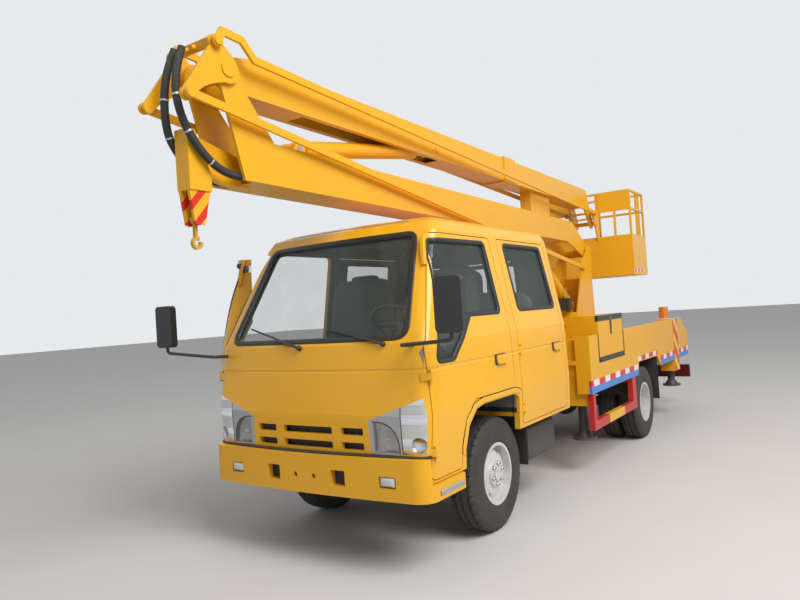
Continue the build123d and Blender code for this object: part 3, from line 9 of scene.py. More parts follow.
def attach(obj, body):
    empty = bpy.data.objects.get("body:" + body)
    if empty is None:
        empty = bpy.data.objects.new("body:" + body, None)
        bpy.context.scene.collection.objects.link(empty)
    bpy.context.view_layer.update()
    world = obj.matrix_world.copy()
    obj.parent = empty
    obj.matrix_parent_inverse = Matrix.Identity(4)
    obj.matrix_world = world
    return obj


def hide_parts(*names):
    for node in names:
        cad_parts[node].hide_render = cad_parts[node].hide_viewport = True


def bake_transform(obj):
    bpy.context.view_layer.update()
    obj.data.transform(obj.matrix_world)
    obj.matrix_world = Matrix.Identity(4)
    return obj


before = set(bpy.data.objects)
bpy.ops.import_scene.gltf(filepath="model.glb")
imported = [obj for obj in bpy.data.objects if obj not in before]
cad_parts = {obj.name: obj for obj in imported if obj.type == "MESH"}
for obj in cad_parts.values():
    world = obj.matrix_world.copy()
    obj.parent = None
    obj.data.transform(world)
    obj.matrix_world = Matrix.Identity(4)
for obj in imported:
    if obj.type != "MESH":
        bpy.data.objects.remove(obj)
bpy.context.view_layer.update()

# Camera: a person's chest height off the truck's front left corner, leaning a little to one side.
# The lens is as wide as a small camera's at its short end.
eye_at = (2.8819, -7.4932, 0.5245)
turn, rise, lean = (math.radians(angle) for angle in (-34.171, 1.017, -3.730))
sensor_width = 36.0
focal_length = sensor_width * 0.83991
ahead = np.array([math.sin(turn) * math.cos(rise), math.cos(turn) * math.cos(rise), math.sin(rise)])
level_right = np.array([math.cos(turn), -math.sin(turn), 0.0])
level_up = np.cross(level_right, ahead)
right = math.cos(lean) * level_right + math.sin(lean) * level_up
up = math.cos(lean) * level_up - math.sin(lean) * level_right
lens = bpy.data.cameras.new("camera")
lens.sensor_width = sensor_width
lens.lens = focal_length
lens.clip_end = 200
camera = bpy.data.objects.new("camera", lens)
camera.matrix_world = Matrix([*np.c_[right, up, -ahead, eye_at].tolist(), [0, 0, 0, 1]])
bpy.context.scene.collection.objects.link(camera)
bpy.context.scene.camera = camera
bpy.context.scene.view_settings.view_transform = "Standard"

# Hose bundles at the elbow: four rubber hoses each, in a woven sleeve with steel ties, which run from the
# bulkhead between the levelling cranks down to the pipe ends in the lower boom's open front.
origin_y = 3360.0
origin_z = 1000.0


def stored(points):
    """Points measured on the truck in millimetres (left, back from the front axle, up from the ground), in
    metres from the deck's mount."""
    return (np.asarray(points, float) - (0.0, origin_y, origin_z)) / 1000.0


def quads(rows, columns, wrap_rows=False, wrap_columns=False):
    """Faces of a grid of points, row after row; a wrapped direction joins its last line to its first."""
    i = np.arange(rows if wrap_rows else rows - 1)[:, None]
    j = np.arange(columns if wrap_columns else columns - 1)[None, :]
    i2, j2 = (i + 1) % rows, (j + 1) % columns
    corners = [i * columns + j, i * columns + j2, i2 * columns + j2, i2 * columns + j]
    return np.stack([c + 0 * (i + j) for c in corners], axis=-1).reshape(-1, 4).tolist()


def swept(path, outline, over, closed=False, caps=True):
    """A closed outline of (across, up) carried along a path: each section stands square to the path, and its
    across axis square to both that and the given up vector."""
    path, outline = np.asarray(path, float), np.asarray(outline, float)
    if outline.ndim == 2:
        outline = np.broadcast_to(outline, (len(path), *outline.shape))
    if closed:
        way = np.roll(path, -1, axis=0) - np.roll(path, 1, axis=0)
    else:
        way = np.gradient(path, axis=0)
    way /= np.linalg.norm(way, axis=1)[:, None]
    across = np.cross(way, np.broadcast_to(np.asarray(over, float), path.shape))
    across /= np.linalg.norm(across, axis=1)[:, None]
    rise_way = np.cross(across, way)
    points = path[:, None] + across[:, None] * outline[..., :1] + rise_way[:, None] * outline[..., 1:]
    rows, columns = outline.shape[:2]
    faces = quads(rows, columns, wrap_rows=closed, wrap_columns=True)
    if caps and not closed:
        faces += [list(range(columns))[::-1], list(range((rows - 1) * columns, rows * columns))]
    return points.reshape(-1, 3), faces


def joined(parts):
    """One list of points and one of faces from several, each part's faces counted on from the last."""
    points = [np.asarray(p, float) for p, _ in parts]
    starts = np.cumsum([0] + [len(p) for p in points[:-1]])
    faces = [[corner + int(start) for corner in face]
             for start, (_, part) in zip(starts, parts) for face in part]
    return np.concatenate(points), faces


def circle(count):
    """Points round a unit circle, (cos a, sin a) at even steps of a."""
    angle = np.linspace(0, 2 * math.pi, count, endpoint=False)
    return np.stack([np.cos(angle), np.sin(angle)], axis=-1)


def grid(x, y, z):
    """Points whose three measures spread over the same rows and columns."""
    return np.stack(np.broadcast_arrays(x, y, z), axis=-1)


def faced(front, back, flip=False):
    """Two grids of points back to back as one thin shape: the second one's faces look the other way."""
    ahead = quads(*front.shape[:2])
    behind = [face[::-1] for face in ahead]
    if flip:
        ahead, behind = behind, ahead
    return joined([(front.reshape(-1, 3), ahead), (back.reshape(-1, 3), behind)])


def piece(name, points, faces, finish, slot, body=None, smooth=True, crease=0.6):
    """A mesh from points in truck millimetres, with its finish and body; the slot is not used. Edges sharper
    than the crease angle stay sharp."""
    mesh = bpy.data.meshes.new(name)
    mesh.from_pydata(stored(points).tolist(), [], faces)
    mesh.update()
    made = bpy.data.objects.new(name, mesh)
    bpy.context.scene.collection.objects.link(made)
    mesh.materials.append(finish)
    if smooth:
        mesh.shade_smooth()
        mesh.set_sharp_from_angle(angle=crease)
    else:
        mesh.shade_flat()
    if body:
        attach(made, body)
    return made


class Wire:
    """One socket of a material's node tree; arithmetic on wires and numbers adds Math nodes."""

    def __init__(self, tree, socket=None):
        self.tree = tree
        self.socket = socket

    def node(self, kind, settings=None, values=None, output=0):
        """Any other node: its settings first, then its sockets' values or wires."""
        made = self.tree.nodes.new(kind)
        for name, value in (settings or {}).items():
            setattr(made, name, value)
        for name, value in (values or {}).items():
            if isinstance(value, Wire):
                self.tree.links.new(value.socket, made.inputs[name])
            else:
                made.inputs[name].default_value = value
        return Wire(self.tree, made.outputs[output])

    def math(self, operation, *others):
        return self.node("ShaderNodeMath", {"operation": operation}, dict(enumerate((self, *others))))

    __add__ = functools.partialmethod(math, "ADD")
    __mul__ = functools.partialmethod(math, "MULTIPLY")
    __sub__ = functools.partialmethod(math, "SUBTRACT")
    __truediv__ = functools.partialmethod(math, "DIVIDE")
    __gt__ = functools.partialmethod(math, "GREATER_THAN")
    __lt__ = functools.partialmethod(math, "LESS_THAN")

    def __rsub__(self, other):
        return self.node("ShaderNodeMath", {"operation": "SUBTRACT"}, {0: other, 1: self})

    def mixed(self, under, over):
        """The colour under where this mask is 0 and the colour over where it is 1."""
        colours = {6: under, 7: over}
        colours = {k: c if isinstance(c, Wire) else (*c, 1.0) for k, c in colours.items()}
        return self.node("ShaderNodeMix", {"data_type": "RGBA"}, {0: self, **colours}, output=2)

    def axes(self):
        """The three numbers of a vector."""
        return [self.node("ShaderNodeSeparateXYZ", values={0: self}, output=i) for i in range(3)]

    def noise(self, scale, detail=3.0):
        return self.node("ShaderNodeTexNoise", values={"Vector": self, "Scale": scale, "Detail": detail})

    def bump(self, distance, strength=1.0):
        """A normal from this height, whose full range of 1 stands for the distance in metres."""
        values = {"Height": self, "Distance": distance, "Strength": strength}
        return self.node("ShaderNodeBump", values=values)


def between(value, low, high):
    """1 where a value lies between two numbers, else 0."""
    return (value > low) * (value < high)


def finish_of(name, look):
    """A material whose shader sockets are what look returns from the piece's own coordinates."""
    made = bpy.data.materials.new(name)
    made.use_nodes = True
    tree = made.node_tree
    shader = tree.nodes["Principled BSDF"]
    place = Wire(tree).node("ShaderNodeTexCoord", output="Object")
    for socket, value in look(place).items():
        if isinstance(value, Wire):
            tree.links.new(value.socket, shader.inputs[socket])
        elif isinstance(value, tuple):
            shader.inputs[socket].default_value = (*value, 1.0)
        else:
            shader.inputs[socket].default_value = value
    return made


def mottled(under, over, blotches, rough, grit=None, **sockets):
    """A look whose colour runs from one tone to the other over the blotches of a noise (scale, detail), its
    roughness with them by rough[0] from rough[1] up, over a grit of (scale, detail, depth in metres)."""
    def look(place):
        patches = place.noise(*blotches)
        made = {"Base Color": patches.mixed(under, over), "Roughness": patches * rough[0] + rough[1]}
        if grit:
            made["Normal"] = place.noise(*grit[:2]).bump(grit[2])
        return {**made, **sockets}
    return look


def sleeve_look(place):
    """Black woven sleeve: a fine diamond weave over soft wear."""
    x, y, z = place.axes()
    weave = ((x + z) * 900.0).math("SINE") * ((y - z) * 900.0).math("SINE")
    worn = mottled((0.012, 0.012, 0.013), (0.035, 0.034, 0.033), (22.0, 3.0), (0.25, 0.45))
    return {**worn(place), "Normal": weave.bump(0.0006)}


sleeve = finish_of("sleeve", sleeve_look)
steel_look = mottled((0.42, 0.42, 0.43), (0.62, 0.62, 0.63), (35.0, 3.0), (0.2, 0.28), Metallic=1.0)
steel = finish_of("steel", steel_look)
hose_r = 22.0
hose_sides = 40
hoses_in_bundle = 4
lobe_depth = 2.6
lobe_twist = 1.5
tie_at = (0.26, 0.5, 0.74)
tie_half = 5.0
tie_rise = 2.2
hose_routes = {
    "left": [
        (30, -1822, 2990), (35, -1862, 2890), (41, -1885, 2790), (48, -1888, 2700), (60, -1874, 2610),
        (78, -1848, 2528), (83, -1795, 2455), (88, -1733, 2395), (92, -1655, 2350), (95, -1575, 2333),
        (95, -1497.4, 2330.5)],
    "right": [
        (-30, -1822, 2990), (-38, -1866, 2884), (-47, -1884, 2784), (-57, -1886, 2692), (-68, -1876, 2604),
        (-80, -1850, 2522), (-84, -1796, 2450), (-88, -1731, 2393), (-92, -1653, 2350), (-95, -1573, 2333.5),
        (-95, -1497.4, 2330.5)],
}


def centreline(points):
    """Points along the smooth curve that a hose takes through its route, about 8 mm apart."""
    curve = bpy.data.curves.new("route", "CURVE")
    curve.dimensions = "3D"
    curve.resolution_u = 12
    line = curve.splines.new("NURBS")
    line.points.add(len(points) - 1)
    line.points.foreach_set("co", np.c_[stored(points), np.ones(len(points))].ravel())
    line.order_u = 3
    line.use_endpoint_u = True
    holder = bpy.data.objects.new("route", curve)
    mesh = bpy.data.meshes.new_from_object(holder)
    found = np.empty(len(mesh.vertices) * 3)
    mesh.vertices.foreach_get("co", found)
    bpy.data.objects.remove(holder)
    bpy.data.curves.remove(curve)
    bpy.data.meshes.remove(mesh)
    return found.reshape(-1, 3) * 1000.0 + (0.0, origin_y, origin_z)


for hand, route in hose_routes.items():
    line = centreline(route)
    angle = np.linspace(0, 2 * math.pi, hose_sides, endpoint=False)
    along = np.linspace(0, 1, len(line))[:, None]
    lobes = hose_r - lobe_depth * (1 - np.abs(np.cos(hoses_in_bundle / 2 * angle + lobe_twist * along)))
    section = circle(hose_sides) * lobes[..., None]
    bundle = piece(f"{hand}_hose_bundle", *swept(line, section, (1, 0, 0)), sleeve, "hose_rubber")
    ties = []
    for share in tie_at:
        middle = int(share * (len(line) - 1))
        way = line[middle + 1] - line[middle - 1]
        way /= np.linalg.norm(way)
        stretch = line[middle] + way * np.array([-tie_half, -tie_half, 0, tie_half, tie_half])[:, None]
        grow = hose_r + np.array([-3, tie_rise - 1, tie_rise, tie_rise - 1, -3])
        ring = circle(hose_sides) * grow[:, None, None]
        stretch[0] -= way * 0.01
        stretch[-1] += way * 0.01
        ties.append(swept(stretch, ring, (1, 0, 0)))
    bands = piece(f"{hand}_hose_ties", *joined(ties), steel, "pin_steel")
    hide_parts(f"{hand}_hoses")
    for part in (bundle, bands):
        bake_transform(part)

# Paintwork of the deck, turret, booms and basket: sprayed yellow enamel on welded steel plate, with a little
# orange peel, faint dust that settles low down and duller patches where hands and ropes rub.
paint_yellow = (0.83, 0.42, 0.015)
dust_tone = (0.46, 0.30, 0.09)
dust_low, dust_high = -1.0, -0.2


def enamel(colour, dust=(0.3, 0.27, 0.22), gloss=0.32):
    """Enamel of one colour, with dust that fades from its full share at one height to none at another."""
    def look(place):
        height = place.axes()[2]
        patches = place.noise(3.0, 4.0)
        share = (dust_high - height) / (dust_high - dust_low)
        settled = share.math("MAXIMUM", 0.0).math("MINIMUM", 1.0) * patches * 0.42
        peel = place.noise(420.0, 1.0)
        deeper = tuple(0.9 * part for part in colour)
        body = patches.mixed(deeper, colour)
        return {
            "Base Color": settled.mixed(body, dust),
            "Roughness": patches * 0.16 + settled * 0.5 + (gloss - 0.08),
            "Coat Weight": 0.06,
            "Coat Roughness": 0.12,
            "Specular IOR Level": 0.3,
            "Normal": peel.bump(0.00025, 0.5),
        }
    return look


def dress(material, *nodes):
    """Puts a material on CAD nodes, in every slot that their meshes have."""
    for node in nodes:
        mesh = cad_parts[node].data
        mesh.materials.clear()
        mesh.materials.append(material)
        mesh.polygons.foreach_set("material_index", np.zeros(len(mesh.polygons), dtype=np.int32))


plate_look = enamel(paint_yellow, dust_tone)
yellow = finish_of("yellow_enamel", plate_look)
dress(yellow, "turret", "upper_boom", "level_crank", "lower_rods", "upper_rods", "lift_barrel",
      "elbow_barrel", "bumper", "grille")

# Cab and doors: pressed steel panels in the same yellow, smoother and glossier than the platform's plate,
# trimmed inside with grey moulded panels and a dark rubber floor mat.
four_corners = ("front_left", "front_right", "rear_left", "rear_right")
trim_grey = (0.20, 0.20, 0.195)
mat_grey = (0.035, 0.035, 0.035)
hinge_line = (-876, -915, 0)
door_hinge = stored(hinge_line)
door_angle = math.radians(43)
crease_z, crease_half = 1.19, 0.012
sill_z, sill_x, door_lean = 0.43, 0.8907, 0.0337
waist_z, waist_x, window_slope = 1.345, 0.862, 0.181
nose_y, front_y, front_slope, front_bow = -1.016, 0.985, 0.559, 0.095
panel_depth = 0.03
roof_z, roof_flat, roof_slope = 2.115, 0.48, 0.2
back_y, floor_z = 1.203, 0.76


def cab_look(turned=False):
    """Enamel outside and trim inside, told apart by the cab's own outline; a turned door is measured shut."""
    def look(place):
        x, y, z = place.axes()
        if turned:
            out_x, out_y = x - door_hinge[0], y - door_hinge[1]
            x = out_x * math.cos(door_angle) - out_y * math.sin(-door_angle) + door_hinge[0]
            y = out_x * math.sin(-door_angle) + out_y * math.cos(door_angle) + door_hinge[1]
        y, z = y + origin_y / 1000.0, z + origin_z / 1000.0
        wide = x.math("ABSOLUTE")
        side = (sill_x - (z - sill_z) * door_lean).math("MINIMUM", waist_x - (z - waist_z) * window_slope)
        front = ((z - waist_z) * front_slope - front_y).math("MAXIMUM", nose_y) + x * x * front_bow
        roof = roof_z - (wide - roof_flat).math("MAXIMUM", 0.0) * roof_slope
        within = (wide < side - panel_depth) * (z < roof) * (z > floor_z)
        within = within * (y > front + panel_depth) * (y < back_y)
        floor_mat = within * (z < 0.945 - (y > 0.23) * 0.15)
        wear = place.noise(4.0, 3.0)
        peel = place.noise(380.0, 1.0)
        low = (0.95 - z).math("MAXIMUM", 0.0).math("MINIMUM", 1.0) * wear * 0.7
        outside = low.mixed(wear.mixed((0.79, 0.40, 0.014), (0.86, 0.44, 0.016)), dust_tone)
        grain = place.noise(260.0, 2.0)
        press = crease_half - (z - crease_z).math("ABSOLUTE")
        pressed = press.math("MAXIMUM", 0.0) * (within < 0.5)
        height = within * grain * 0.0006 + (within < 0.5) * peel * 0.00012 - pressed * 0.35
        return {
            "Base Color": floor_mat.mixed(within.mixed(outside, trim_grey), mat_grey),
            "Roughness": within * 0.4 + wear * 0.1 + low * 0.4 + 0.16,
            "Coat Weight": (within < 0.5) * 0.15,
            "Coat Roughness": 0.06,
            "Specular IOR Level": 0.35,
            "Normal": height.bump(1.0),
        }
    return look


cab_enamel = finish_of("cab_enamel", cab_look())
dress(cab_enamel, "cab_shell", "front_left_door", "rear_left_door", "rear_right_door")
dress(finish_of("open_door_enamel", cab_look(turned=True)), "front_right_door")

# Cab windows: clear safety glass with a faint green cast and a film of dust.
def glass_look(place):
    film = place.noise(5.0, 3.0)
    return {
        "Base Color": film.mixed((0.10, 0.13, 0.125), (0.15, 0.18, 0.17)),
        "Roughness": film * 0.05 + 0.02,
        "Alpha": film * 0.10 + 0.13,
    }


dress(finish_of("safety_glass", glass_look), "cab_glass", *(f"{corner}_glass" for corner in four_corners))

# Chassis, axles, tanks and legs: black chassis paint, dusty and scuffed down to grey in places.
def chassis_look(place):
    height = place.axes()[2]
    patches = place.noise(6.0, 5.0)
    grit = place.noise(120.0, 2.0)
    dusty = ((-0.3 - height) * 1.4).math("MAXIMUM", 0.0).math("MINIMUM", 1.0) * patches
    paint = patches.mixed((0.018, 0.018, 0.02), (0.04, 0.039, 0.038))
    return {
        "Base Color": dusty.mixed(paint, (0.16, 0.145, 0.12)),
        "Roughness": patches * 0.25 + 0.4,
        "Normal": grit.bump(0.0004),
    }


iron_look = mottled((0.03, 0.028, 0.026), (0.12, 0.11, 0.10), (9.0, 4.0), (0.35, 0.35), (160.0, 2.0, 0.0012),
                    Metallic=0.6)
chassis_black = finish_of("chassis_black", chassis_look)
dress(chassis_black, "chassis_frame", "cab_mounts", "front_axle", "rear_axle", "side_tanks", "left_knuckle",
      "right_knuckle", *(f"{corner}_leg" for corner in four_corners))
dress(finish_of("engine_iron", iron_look), "engine", "driveline")

# Rods and pins: chromed cylinder rods with a thin film of oil, and plain steel pins.
chrome_look = mottled((0.66, 0.67, 0.69), (0.82, 0.83, 0.85), (14.0, 3.0), (0.12, 0.06), Metallic=1.0)
dress(finish_of("rod_chrome", chrome_look), "lift_rod", "elbow_rod")
dress(steel, "elbow_pin", "elbow_piston")

# Rubber, plastics and lamps: flaps and pads in black rubber, moulded black plastic for the mirrors and the
# dashboard, clear and coloured lamp plastic, and the hook's golden paint.
def plastic_look(place):
    cells = place.node("ShaderNodeTexVoronoi", values={"Vector": place, "Scale": 300.0})
    moulded = mottled((0.022, 0.022, 0.023), (0.039, 0.039, 0.0405), (8.0, 3.0), (0.12, 0.42))
    return {**moulded(place), "Normal": cells.bump(0.0004, 0.6)}


def lamp_look(colour):
    def look(place):
        x, _, z = place.axes()
        ribs = (z * 520.0).math("SINE") * (x * 520.0).math("SINE")
        depth = place.noise(12.0, 2.0)
        return {
            "Base Color": depth.mixed(tuple(0.8 * part for part in colour), colour),
            "Roughness": depth * 0.08 + 0.1,
            "Coat Weight": 0.5,
            "Normal": ribs.bump(0.0008),
        }
    return look


rubber_look = mottled((0.014, 0.014, 0.014), (0.045, 0.043, 0.04), (7.0, 4.0), (0.2, 0.62),
                      (200.0, 2.0, 0.0005))
rubber = finish_of("black_rubber", rubber_look)
dress(rubber, "mudguards", "rest_pad", *(f"{corner}_tyre" for corner in four_corners))
black_plastic = finish_of("black_plastic", plastic_look)
dress(black_plastic, "mirrors", "dashboard")
clear_lamp = finish_of("clear_lamp", lamp_look((0.62, 0.64, 0.66)))
dress(finish_of("golden_steel", enamel((0.62, 0.36, 0.04), gloss=0.4)), "hook")


def wheel_look(place):
    patches = place.noise(9.0, 4.0)
    dirt = place.noise(40.0, 3.0)
    return {
        "Base Color": (patches * dirt).mixed((0.74, 0.74, 0.75), (0.36, 0.34, 0.31)),
        "Metallic": 0.35,
        "Roughness": patches * 0.25 + 0.3,
        "Normal": dirt.bump(0.0003),
    }


dress(finish_of("silver_paint", wheel_look), *(f"{corner}_rim" for corner in four_corners))


def fabric_look(place):
    x, y, z = place.axes()
    weave = ((x + y) * 1500.0).math("SINE") * ((z - y) * 1500.0).math("SINE")
    cloth = mottled((0.075, 0.077, 0.085), (0.13, 0.13, 0.14), (10.0, 3.0), (0.08, 0.85))
    return {**cloth(place), "Sheen Weight": 0.3, "Normal": weave.bump(0.0005)}


fabric = finish_of("seat_fabric", fabric_look)
dress(fabric, "seats")

# Window seals: black rubber gaskets pressed round the windscreen, the rear screen and the door windows. Each
# lies half on the panel and half on the glass, with a rounded lip.
windscreen = [(-716, 1385), (716, 1385), (606, 2008), (-606, 2008)]
rear_screen = [(500, 1450), (-500, 1450), (-470, 1900), (470, 1900)]
front_window = [(-822, 1225), (-628, 1225), (-440, 1392), (-345, 1482), (92, 1482), (78, 1966), (-598, 1956)]
rear_window = [(410, 1488), (1098, 1488), (1062, 1966), (392, 1966)]
gasket = [
    (-28, -38), (-28, -6), (-21, 4), (-12, 7), (-2, 7.5), (8, 6), (11, 3), (12, -2), (0, -6), (-13.5, -38)]
door_gasket = [
    (-22, -34), (-22, -5), (-15, 3), (-7, 5), (0, 5.5), (5, 4.5), (8, 2.5), (8, -2), (0, -6), (-7.5, -34)]
glass_way = np.array([0.0, -0.873, 0.488])
window_lean = (0.984, 0.0, 0.178)


def triangles(*nodes):
    """The corner points of all triangles of some CAD nodes, in truck millimetres."""
    found = []
    for node in nodes:
        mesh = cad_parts[node].data
        mesh.calc_loop_triangles()
        places = np.empty(len(mesh.vertices) * 3)
        mesh.vertices.foreach_get("co", places)
        corners = np.empty(len(mesh.loop_triangles) * 3, dtype=np.int32)
        mesh.loop_triangles.foreach_get("vertices", corners)
        found.append(places.reshape(-1, 3)[corners].reshape(-1, 3, 3) * 1000.0 + (0.0, origin_y, origin_z))
    return np.concatenate(found)


def landed(points, axis, sense, *nodes):
    """Points slid along one axis onto the outermost face of some CAD nodes on the sense's side: a point lies
    over a triangle where its three shares of the corners are all positive, which give its height there."""
    points = np.array(points, float)
    flat = [i for i in range(3) if i != axis]
    faces = triangles(*nodes)
    spread = points[:, flat]
    near = (faces[:, :, flat].max(axis=1) >= spread.min(axis=0) - 1).all(axis=1)
    near &= (faces[:, :, flat].min(axis=1) <= spread.max(axis=0) + 1).all(axis=1)
    faces = faces[near]
    first, second = faces[:, 1] - faces[:, 0], faces[:, 2] - faces[:, 0]
    area = first[:, flat[0]] * second[:, flat[1]] - first[:, flat[1]] * second[:, flat[0]]
    faces, first, second, area = (part[np.abs(area) > 1e-6] for part in (faces, first, second, area))
    away = spread[:, None] - faces[None, :, 0][..., flat]
    u = (away[..., 0] * second[:, flat[1]] - away[..., 1] * second[:, flat[0]]) / area
    v = (first[:, flat[0]] * away[..., 1] - first[:, flat[1]] * away[..., 0]) / area
    over = (u > -1e-4) & (v > -1e-4) & (u + v < 1 + 1e-4)
    height = faces[:, 0, axis] + u * first[:, axis] + v * second[:, axis]
    best = np.where(over, height * sense, -np.inf).max(axis=1)
    points[:, axis] = np.where(np.isfinite(best), best * sense, points[:, axis])
    return points


def rounded(corners, radius, grow=0.0, step=14.0):
    """A polygon grown outwards by a margin, with its corners rounded, as points about a step apart."""
    corners = np.asarray(corners, float)
    before = corners - np.roll(corners, 1, axis=0)
    after = np.roll(corners, -1, axis=0) - corners
    before /= np.linalg.norm(before, axis=1)[:, None]
    after /= np.linalg.norm(after, axis=1)[:, None]
    turned = np.arctan2(before[:, 0] * after[:, 1] - before[:, 1] * after[:, 0], (before * after).sum(axis=1))
    out_way = np.stack([before[:, 1] + after[:, 1], -before[:, 0] - after[:, 0]], axis=1)
    out_way /= (1 + (before * after).sum(axis=1))[:, None]
    corners = corners + out_way * grow
    radii = np.maximum(radius + np.sign(turned) * grow, 4.0)
    setback = radii * np.tan(np.abs(turned) / 2)
    line = []
    for i, corner in enumerate(corners):
        share = np.linspace(0, 1, 7)[:, None]
        start, end = corner - before[i] * setback[i], corner + after[i] * setback[i]
        line.append((1 - share) ** 2 * start + 2 * share * (1 - share) * corner + share ** 2 * end)
        stop = corners[(i + 1) % len(corners)] - after[i] * setback[(i + 1) % len(corners)]
        count = max(int(np.linalg.norm(stop - end) / step), 1)
        line.append(end + (stop - end) * np.linspace(0, 1, count + 1)[1:-1, None])
    return np.concatenate(line)


def mirrored(shape):
    """The same shape on the truck's other side."""
    points, faces = shape
    return np.asarray(points) * (-1, 1, 1), [face[::-1] for face in faces]


def swung(shape):
    """A right front door's piece, made with the door shut, turned open with it about its hinge."""
    points, faces = shape
    c, s = math.cos(door_angle), math.sin(door_angle)
    opened = np.array([[c, s, 0], [-s, c, 0], [0, 0, 1]])
    return (np.asarray(points) - hinge_line) @ opened + hinge_line, faces


def on_both_sides(name, shape, finish, slot, body, **options):
    """A left piece and its mirror image, whose name and body say right where the left one's say left."""
    piece(name, *shape, finish, slot, body, **options)
    name, body = name.replace("left", "right"), body.replace("left", "right")
    piece(name, *mirrored(shape), finish, slot, body, **options)


def on_both_doors(place, kind, shape, finish, slot):
    """A piece on the left door of a row and its twin on the right one, of which the front one stands open."""
    twin = mirrored(shape)
    if place == "front":
        twin = swung(twin)
    piece(f"{place}_left_{kind}", *shape, finish, slot, f"{place}_left_door")
    piece(f"{place}_right_{kind}", *twin, finish, slot, f"{place}_right_door")


def round_window(corners, radius, margin, door):
    """A path round a door's window, landed on the door; where it runs off the door, from its neighbours."""
    path = landed(np.insert(rounded(corners, radius, margin), 0, 0.0, axis=1), 0, 1, door)
    met = path[:, 0] > 0
    count = np.arange(len(path))
    path[:, 0] = np.interp(count, count[met], path[met, 0])
    return path


seal_look = mottled((0.010, 0.010, 0.010), (0.024, 0.024, 0.023), (12.0, 3.0), (0.15, 0.4),
                    (300.0, 1.0, 0.0003))
seal_rubber = finish_of("seal_rubber", seal_look)
screen_round, window_round, seal_margin = 60, 38, 8
path = landed(np.insert(rounded(windscreen, screen_round, 14), 1, 0.0, axis=1), 1, -1, "cab_shell")
piece("windscreen_seal", *swept(path, gasket, glass_way, closed=True), seal_rubber, "flap_rubber", "truck")
path = landed(np.insert(rounded(rear_screen, screen_round, 14), 1, 1300.0, axis=1), 1, 1, "cab_shell")
shape = swept(path, gasket, (0.0, 1.0, 0.0), closed=True)
piece("rear_screen_seal", *shape, seal_rubber, "flap_rubber", "truck")
for place, corners in (("front", front_window), ("rear", rear_window)):
    path = round_window(corners, window_round, seal_margin, f"{place}_left_door")
    shape = swept(path, door_gasket, window_lean, closed=True)
    on_both_doors(place, "seal", shape, seal_rubber, "flap_rubber")

# Door frame corners: pressed steel round each front door's upper front corner, where the frame follows the
# cab's curve.
path = round_window(front_window, window_round, 27, "front_left_door")
path = path[(path[:, 1] < -520) & (path[:, 2] > 1800)] - (9, 0, 0)
bar = [(-19, -16), (-19, 3), (-12, 5), (12, 5), (19, 3), (19, -16)]
on_both_doors("front", "corner", swept(path, bar, window_lean), cab_enamel, "yellow_paint")

# Wipers: two black steel arms on the scuttle, each with its nut cap and a rubber blade lying on the glass.
wipers = [
    ((-41, 1332), (-300, 1392), (-110, 1352), (-577, 1466)),
    ((585, 1341), (350, 1392), (560, 1352), (151, 1439)),
]
for count, (pivot, joint, heel, tip) in enumerate(wipers):
    stretch = np.linspace(0, 1, 14)[:, None]
    arm_line = np.array(pivot) + stretch * (np.array(joint) - pivot)
    arm = landed(np.insert(arm_line, 1, 0.0, axis=1), 1, -1, "cab_glass", "cab_shell")
    arm += glass_way * (8 + 22 * np.sin(math.pi * stretch) ** 0.6)
    half = 9 - 4 * stretch[:, :, None]
    bar = half * np.array([(-1, -0.5), (1, -0.5), (1, 0.1), (0.5, 0.5), (-0.5, 0.5), (-1, 0.1)])
    blade_line = np.array(heel) + stretch * (np.array(tip) - heel)
    blade = landed(np.insert(blade_line, 1, 0.0, axis=1), 1, -1, "cab_glass", "cab_shell") + glass_way * 9
    strip = np.array([(-2, -8), (2, -8), (6, 3), (5, 7), (-5, 7), (-6, 3)], float)
    foot = arm[0] + glass_way * np.array([-8, -4, 12, 16, 17])[:, None]
    ring = circle(20) * np.array([16, 16, 16, 12, 2])[:, None, None]
    shape = joined([swept(arm, bar, glass_way), swept(blade, strip, glass_way), swept(foot, ring, (1, 0, 0))])
    piece(f"wiper_{count + 1}", *shape, black_plastic, "dark_plastic", "truck")

# Door handles and keyholes: black moulded pulls in a shallow dished surround, screwed to each door.
handle_half, handle_tall_half, handle_swell = 84, 36, 20
for place, y, z in (("front", -10, 1165), ("rear", 1010, 1172)):
    u, v = np.linspace(-1, 1, 25)[:, None], np.linspace(-1, 1, 13)
    rim = (1 - np.abs(u) ** 4) * (1 - np.abs(v) ** 4)
    plate = grid(900.0, y + handle_half * u, z + handle_tall_half * v)
    plate = landed(plate.reshape(-1, 3), 0, 1, f"{place}_left_door").reshape(25, 13, 3)
    panel_x = np.median(plate[[0, -1]][..., 0]) + (z - plate[..., 2]) * door_lean
    plate[..., 0] = panel_x - 2 + handle_swell * rim ** 0.35
    back = plate.copy()
    back[..., 0] = panel_x - 4
    on_both_doors(place, "handle", faced(plate, back, flip=True), black_plastic, "dark_plastic")

# Headlamps: a clear moulded cover, silvered inside but for its window, over one fluted bowl with a square
# lower inner corner and a bulb; the outer column has a small round reflector, with a painted reflection
# that is bright at its middle and darker towards its rim. Clipped into the cab's corners.
bowl_corner = (505.0, 716.0)
bowl_size = (172.0, 178.0)
bowl_power = 2.6
column_x, column_end = 700.0, 866.0
column_joint = 7.0
small_bowl = (802.0, 768.0, 44.0)


